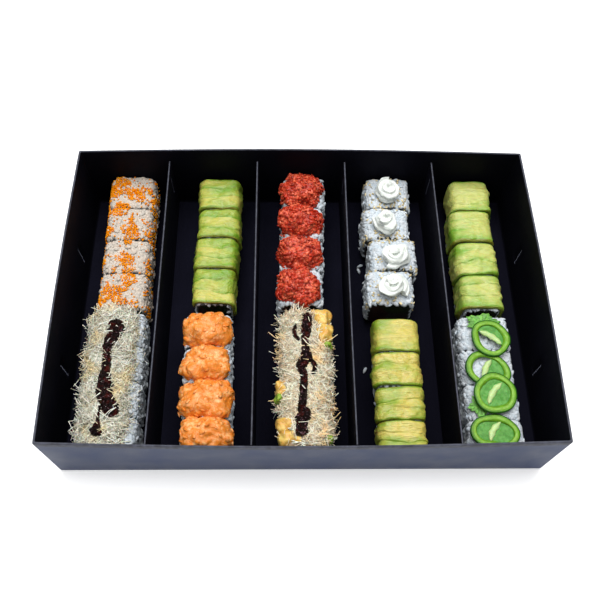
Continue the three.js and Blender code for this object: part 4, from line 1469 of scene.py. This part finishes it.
class TRAY_OT_fried_heaps(bpy.types.Operator):
    """Piles fine fried shreds on two rolls and draws a line of thick sauce along each"""

    bl_idname = "sushi_tray.fried_heaps"
    bl_label = "Fried shreds and sauce"

    def execute(self, context):
        sizes = settings().topping
        sauce = sauce_material("Sweet soy glaze", sizes.sauce)
        tree = scatter_tree("Shreds over a heap", "shred")
        length, width = sizes.shred_length, sizes.shred_width
        close = {"length": length * 0.8, "width": width, "spacing": 1.12 * MM, "lift": 0.4 * MM, "lean": 0.16}
        close.update(spread=0.4, bend=4 * MM, bend_size=10 * MM)
        loose = {"length": length, "width": width * 0.9, "spacing": 2.1 * MM, "lift": 1.4 * MM, "lean": 0.55}
        loose.update(spread=0.35, bend=8 * MM, bend_size=13 * MM)
        for number, (name, look) in enumerate(HEAPS.items()):
            colour = scaled(sizes.shreds, look["warmth"])
            shreds = shred_material(f"Fried potato shreds, {look['side']}", colour)
            # Painted shade: the core under the shreds is their colour darkened, for the gaps between them
            packed_in_painted_shade = shred_material(f"Fried potato shreds, packed, {look['side']}", shade(colour, 0.36))
            core = heap_core(name, look, packed_in_painted_shade)
            keep(core, "fried_shreds", name)
            low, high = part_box(name)

            def away_from_front(co, near, far):
                above = co.z > low[2] + 1 * MM
                return smoothstep(low[1] + near * MM, low[1] + far * MM, co.y) if above else 0.0

            def lay(label, seed, laid):
                common = {"thickness": width * 0.8, "seed": seed + number, "material": shreds}
                made = scatter(f"{name}_{label}", core, tree, "fried_shreds", **laid, **common)
                hold_inside(made, low, high)
                return made

            set_cover(core, lambda co: away_from_front(co, 1, 4) * clear_of_lumps(name, co))
            fine = lay("shreds", 61, close)
            set_cover(
                core,
                lambda co: away_from_front(co, 5, 9)
                * smoothstep(1 * MM, 4 * MM, clear_of_sauce(name, co))
                * clear_of_lumps(name, co),
            )
            lay("strays", 71, loose)
            surface = surface_of([core, fine])
            shape = Shape()
            for i, line in enumerate(SAUCE_LINES[name]):
                sauce_line(shape, line, surface, number * 7 + i * 3.0)
            keep(face_outwards(shape.piece(f"{name}_sauce", [sauce])), "fried_shreds")
        cream = moist_material("Spiced egg cream", linear("#dfc06a"), linear("#cb9a45"), 5)
        green = moist_material("Avocado, diced", linear("#9db548"), linear("#6c9428"), 3)
        for label, lumps, material in (("cream", CREAM_LUMPS, cream), ("avocado", GREEN_BITS, green)):
            shape = Shape()
            for i, (x, y, rx, ry) in enumerate(lumps):

                def relief_of(point):
                    coarse = 2.4 * MM * ripple(point, 4.5 * MM, i * 3.0)
                    return coarse + 0.6 * MM * ripple(point, 2 * MM, i), 0.0

                centre = (x * MM, y * MM, 35 * MM)
                dome(shape, centre, (rx * MM, ry * MM), 7.5 * MM, 6 * MM, relief_of, 48, 18)
            keep(face_outwards(shape.piece(f"crisp_heap_middle_{label}", [material])), "fried_shreds")
        return {"FINISHED"}


# Slices of pepper: reach in x and y, turn and the angle of the rib, in millimetres and radians, and which
# hollows beside the rib are open: 1 is the one to its left, -1 the one to its right
PEPPER_SLICES = (
    (14.4, 15.4, 0.5, -0.62, (-1,)),
    (17.2, 14.0, -0.4, 1.15, (1,)),
    (15.6, 16.0, -0.7, 0.95, ()),
    (17.8, 13.0, -0.1, 1.0, ()),
)
SLICE_THICKNESS = 2.2 * MM
# INNER is the crest of the ring, painted paler as a highlight
SKIN, FLESH, RIB, WEB, INNER = range(5)
# The ring's section from the outside in: inset in millimetres, share of the ring's width added to it, height
# as a share of the slice's thickness, and the material up to the next point
RING_SECTION = (
    (0.3, 0, 0.0, SKIN), (0.0, 0, 0.15, SKIN), (0.0, 0, 0.8, SKIN), (0.3, 0, 0.98, SKIN),
    (0.95, 0, 1.02, FLESH), (2.0, 0, 1.06, INNER), (3.7, 0, 1.04, FLESH),
    (0, 1, 0.86, FLESH), (0, 1, 0.35, FLESH), (-0.4, 1, 0.0, FLESH),
)


class PepperSlice:
    """One slice of pepper, about its own middle: an outline, and the width of the ring inside it."""

    def __init__(self, number):
        self.number = number
        self.rx, self.ry, self.turn, self.rib_angle, self.open_sides = PEPPER_SLICES[number - 1]
        self.shape = Shape()

    def outline(self, angle, inset):
        wobble = 1 + 0.02 * math.sin(3 * angle + self.number) + 0.012 * math.sin(5 * angle + 2 * self.number)
        reach = section_radius(angle - self.turn, self.rx * MM, self.ry * MM, 2.0) * wobble - 0.4 * MM
        return reach - inset

    def ring_width(self, angle):
        return (4.8 + 0.6 * math.sin(2 * angle + self.number * 1.3)) * MM

    def add_ring(self, around=84):
        verts = []
        for inset, share, level, _ in RING_SECTION:
            for i in range(around):
                angle = TAU * i / around
                reach = self.outline(angle, inset * MM + share * self.ring_width(angle))
                verts.append((reach * math.cos(angle), reach * math.sin(angle), level * SLICE_THICKNESS))
        faces = grid_faces(len(RING_SECTION), around, closed=True)
        last = (len(RING_SECTION) - 1) * around
        faces += [(i, (i + 1) % around, last + (i + 1) % around, last + i) for i in range(around)]
        self.shape.add(verts, faces, [row[3] for row in RING_SECTION for _ in range(around)])

    def add_rib(self, length=22, around=10):
        along = Vector((math.cos(self.rib_angle), math.sin(self.rib_angle), 0))
        beside = Vector((-along.y, along.x, 0))
        verts = []
        for s in range(length):
            t = 2 * s / (length - 1) - 1
            reach = self.outline(self.rib_angle if t > 0 else self.rib_angle + math.pi, 2.2 * MM)
            bow = 1.6 * MM * (1 - t * t)
            half = (2.0 * (1 - t**4) + 0.3) * MM * (1 + 0.12 * math.sin(9 * t + self.number))
            for c in range(around):
                angle = TAU * c / around
                point = along * reach * 0.72 * t + beside * (bow + half * math.cos(angle))
                height = SLICE_THICKNESS * 0.56 * (1 + math.sin(angle) * (0.98 - 0.1 * abs(t)))
                verts.append((point.x, point.y, height))
        self.shape.add(verts, tube_faces(length, around, flip=True), RIB)

    def add_web(self, side, rows=12, columns=26):
        """A thin sagging sheet between the ring and the rib, on one side of it."""
        tops, unders = [], []
        for r in range(rows):
            for c in range(columns):
                direction = self.rib_angle + side * math.pi * c / (columns - 1)
                reach = self.outline(direction, self.ring_width(direction) - 0.5 * MM) * (r / (rows - 1))
                x, y = reach * math.cos(direction), reach * math.sin(direction)
                sag = 0.22 * MM * ripple((x, y, 0), 4 * MM, self.number)
                tops.append((x, y, 1.1 * MM + sag))
                unders.append((x, y, 0.6 * MM + sag))
        sheet = grid_faces(rows, columns, closed=False)
        under = len(tops)
        rim = range((rows - 1) * columns, rows * columns)
        faces = sheet + [tuple(under + i for i in f[::-1]) for f in sheet]
        faces += [(a, b, under + b, under + a) for a, b in zip(rim, rim[1:])]
        self.shape.add(tops + unders, faces, WEB)


class TRAY_OT_pepper(bpy.types.Operator):
    """Lays four slices of green pepper along one roll: a skin, a ring of flesh, a rib and thin webs"""

    bl_idname = "sushi_tray.pepper"
    bl_label = "Green pepper"

    def execute(self, context):
        sizes = settings().topping
        skin, flesh, rib = sizes.pepper_skin, sizes.pepper_flesh, sizes.pepper_rib
        # The paler flesh on the crest of the ring is a painted highlight
        web, inner = linear("#5e9b45"), linear("#84b044")
        materials = [
            moist_material("Green pepper skin", skin, shade(skin, 0.6), 3, 0.2, 0, wet=0.15),
            moist_material("Green pepper flesh", flesh, shade(flesh, 0.75), 4, wet=0.12),
            moist_material("Green pepper rib", rib, shade(rib, 0.85), 3),
            moist_material("Green pepper web", web, linear("#45822d"), 3, wet=0.12),
            moist_material("Green pepper flesh, painted highlight on the crest", inner, linear("#6f9f2e"), 3, wet=0.12),
        ]
        for number in range(1, len(PEPPER_SLICES) + 1):
            low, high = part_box(f"pepper_slice_{number}")
            middle = Vector(((low[0] + high[0]) / 2, (low[1] + high[1]) / 2, low[2]))
            pepper = PepperSlice(number)
            pepper.add_ring()
            pepper.add_rib()
            for side in (1, -1):
                if side not in pepper.open_sides:
                    pepper.add_web(side)
            pepper.shape.verts = [tuple(middle + Vector(v)) for v in pepper.shape.verts]
            made = face_outwards(pepper.shape.piece(f"pepper_{number}", materials))
            keep(made, "pepper", f"pepper_slice_{number}")
        return {"FINISHED"}


# Herb leaves, by number: reach in x and y in millimetres, and where their lobes start, in radians
HERB_LEAVES = {1: (10.6, 6.0, 0.0), 2: (7.4, 7.0, 2.2)}


class TRAY_OT_herbs(bpy.types.Operator):
    """Tucks frilled herb leaves under the slices of pepper"""

    bl_idname = "sushi_tray.herbs"
    bl_label = "Herb leaves"

    def execute(self, context):
        leaf = leaf_material("Fresh coriander leaf", settings().topping.herb)
        rings, around = 9, 96
        for number, (rx, ry, start) in HERB_LEAVES.items():
            low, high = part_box(f"herb_leaf_{number}")
            middle = Vector([(a + b) / 2 for a, b in zip(low, high)])
            verts = []
            for r in range(rings):
                share = r / (rings - 1)
                for i in range(around):
                    angle = TAU * i / around
                    lobes = 0.16 * math.cos(5 * angle + start) + 0.07 * math.cos(17 * angle)
                    reach = 1.08 * share * (1 + lobes * share)
                    x, y = rx * MM * reach * math.cos(angle), ry * MM * reach * math.sin(angle)
                    frill = 0.35 * MM * share * math.sin(17 * angle)
                    curl = 0.5 * MM * ripple((x, y, 0), 3 * MM, number) + frill
                    verts.append(tuple(middle + Vector((x, y, curl))))
            blade = new_piece(f"herb_{number}", verts, grid_faces(rings, around, closed=True), [leaf])
            thicken = blade.modifiers.new("Thickness", "SOLIDIFY")
            thicken.thickness = 0.35 * MM
            thicken.offset = 0
            applied(blade)
            keep(blade, "herb", f"herb_leaf_{number}")
        return {"FINISHED"}


# The stage


def aim_camera(sizes):
    """A camera on a sphere about the target, turned a little about its view line as the photograph's was."""
    azimuth, elevation = sizes.azimuth, sizes.elevation
    back = Vector(
        (
            math.sin(azimuth) * math.cos(elevation),
            -math.cos(azimuth) * math.cos(elevation),
            math.sin(elevation),
        )
    )
    across = (-back).cross(Vector((0, 0, 1))).normalized()
    upward = across.cross(-back)
    cosine, sine = math.cos(sizes.roll), math.sin(sizes.roll)
    across, upward = cosine * across + sine * upward, cosine * upward - sine * across
    data = bpy.data.cameras.new("camera")
    data.lens = sizes.lens
    data.sensor_width = 36
    data.sensor_fit = "HORIZONTAL"
    data.shift_y = sizes.shift
    data.clip_start = 0.01
    camera = bpy.data.objects.new("camera", data)
    bpy.context.scene.collection.objects.link(camera)
    camera.matrix_world = Matrix.Translation(Vector(sizes.target) + back * sizes.distance) @ Matrix(
        (across, upward, back)
    ).transposed().to_4x4()
    bpy.context.scene.camera = camera


def soft_light(name, place, size, power):
    data = bpy.data.lights.new(name, "AREA")
    data.shape = "RECTANGLE"
    data.size, data.size_y = size
    data.energy = power
    lamp = bpy.data.objects.new(name, data)
    lamp.location = place
    lamp.rotation_euler = (-Vector(place)).to_track_quat("-Z", "Y").to_euler()
    bpy.context.scene.collection.objects.link(lamp)


class TRAY_OT_stage(bpy.types.Operator):
    """Sets out the pale floor, the soft studio lights and the camera"""

    bl_idname = "sushi_tray.stage"
    bl_label = "Stage"

    def execute(self, context):
        sizes = settings().stage
        looks = {"Emission_Strength": 0.4}
        backdrop, tree = start_material("Opal acrylic light table", sizes.backdrop, 0.9, **looks)
        pale = layered(tree, shade(sizes.backdrop, 0.985), [(patches(tree, 60), sizes.backdrop)])
        for key in ("Base Color", "Emission Color"):
            tree.links.new(pale, tree.nodes["Principled BSDF"].inputs[key])
        # The floor reaches far enough to look endless from low views
        reach = 40.0
        corners = [(-reach, -reach, 0), (reach, -reach, 0), (reach, reach, 0), (-reach, reach, 0)]
        floor = new_piece("floor", corners, [(0, 1, 2, 3)], [backdrop], smooth=False)
        world = bpy.data.worlds.new("Soft white studio")
        world.use_nodes = True
        sky = world.node_tree.nodes["Background"]
        sky.inputs["Color"].default_value = (1, 1, 1, 1)
        # The studio is darker overhead than near the horizon, so that level card stays dark
        towards = add(world.node_tree, "ShaderNodeTexCoord")
        split = add(world.node_tree, "ShaderNodeSeparateXYZ", {0: towards.outputs["Generated"]})
        levels = {"From Min": 0.15, "From Max": 0.4, "To Min": 0.9, "To Max": 0.34}
        glow = add(world.node_tree, "ShaderNodeMapRange", {"Value": split.outputs["Z"], **levels})
        world.node_tree.links.new(glow.outputs[0], sky.inputs["Strength"])
        bpy.context.scene.world = world
        bpy.context.scene.view_settings.view_transform = "Standard"
        soft_light("key_light", (0.1, 0.42, 1.5), (1.3, 1.3), 32)
        soft_light("fill_light", (-0.9, -0.3, 1.5), (1.4, 1.4), 7)
        aim_camera(sizes)
        return {"FINISHED"}


class VIEW3D_PT_sushi_tray(bpy.types.Panel):
    bl_label = "Sushi tray"
    bl_space_type = "VIEW_3D"
    bl_region_type = "UI"
    bl_category = "Sushi tray"

    def draw(self, context):
        for group in (settings().tray, settings().roll, settings().topping, settings().stage):
            box = self.layout.box()
            for name in group.__annotations__:
                box.prop(group, name)
        for operator in OPERATORS:
            self.layout.operator(operator.bl_idname)


GROUPS = (TraySizes, RollSizes, ToppingSizes, StageSizes, SushiTraySettings)
OPERATORS = (
    TRAY_OT_card_tray,
    TRAY_OT_dividers,
    TRAY_OT_rolls,
    TRAY_OT_chopped_fish,
    TRAY_OT_avocado,
    TRAY_OT_roe,
    TRAY_OT_cream,
    TRAY_OT_fried_heaps,
    TRAY_OT_pepper,
    TRAY_OT_herbs,
    TRAY_OT_stage,
)


def register():
    for item in (*GROUPS, *OPERATORS, VIEW3D_PT_sushi_tray):
        bpy.utils.register_class(item)
    bpy.types.Scene.sushi_tray = PointerProperty(type=SushiTraySettings)


def unregister():
    del bpy.types.Scene.sushi_tray
    for item in reversed((*GROUPS, *OPERATORS, VIEW3D_PT_sushi_tray)):
        bpy.utils.unregister_class(item)


def main():
    register()
    bpy.ops.sushi_tray.card_tray()
    bpy.ops.sushi_tray.dividers()
    bpy.ops.sushi_tray.rolls()
    bpy.ops.sushi_tray.chopped_fish()
    bpy.ops.sushi_tray.avocado()
    bpy.ops.sushi_tray.roe()
    bpy.ops.sushi_tray.cream()
    bpy.ops.sushi_tray.fried_heaps()
    bpy.ops.sushi_tray.pepper()
    bpy.ops.sushi_tray.herbs()
    bpy.ops.sushi_tray.stage()


if __name__ == "__main__":
    main()
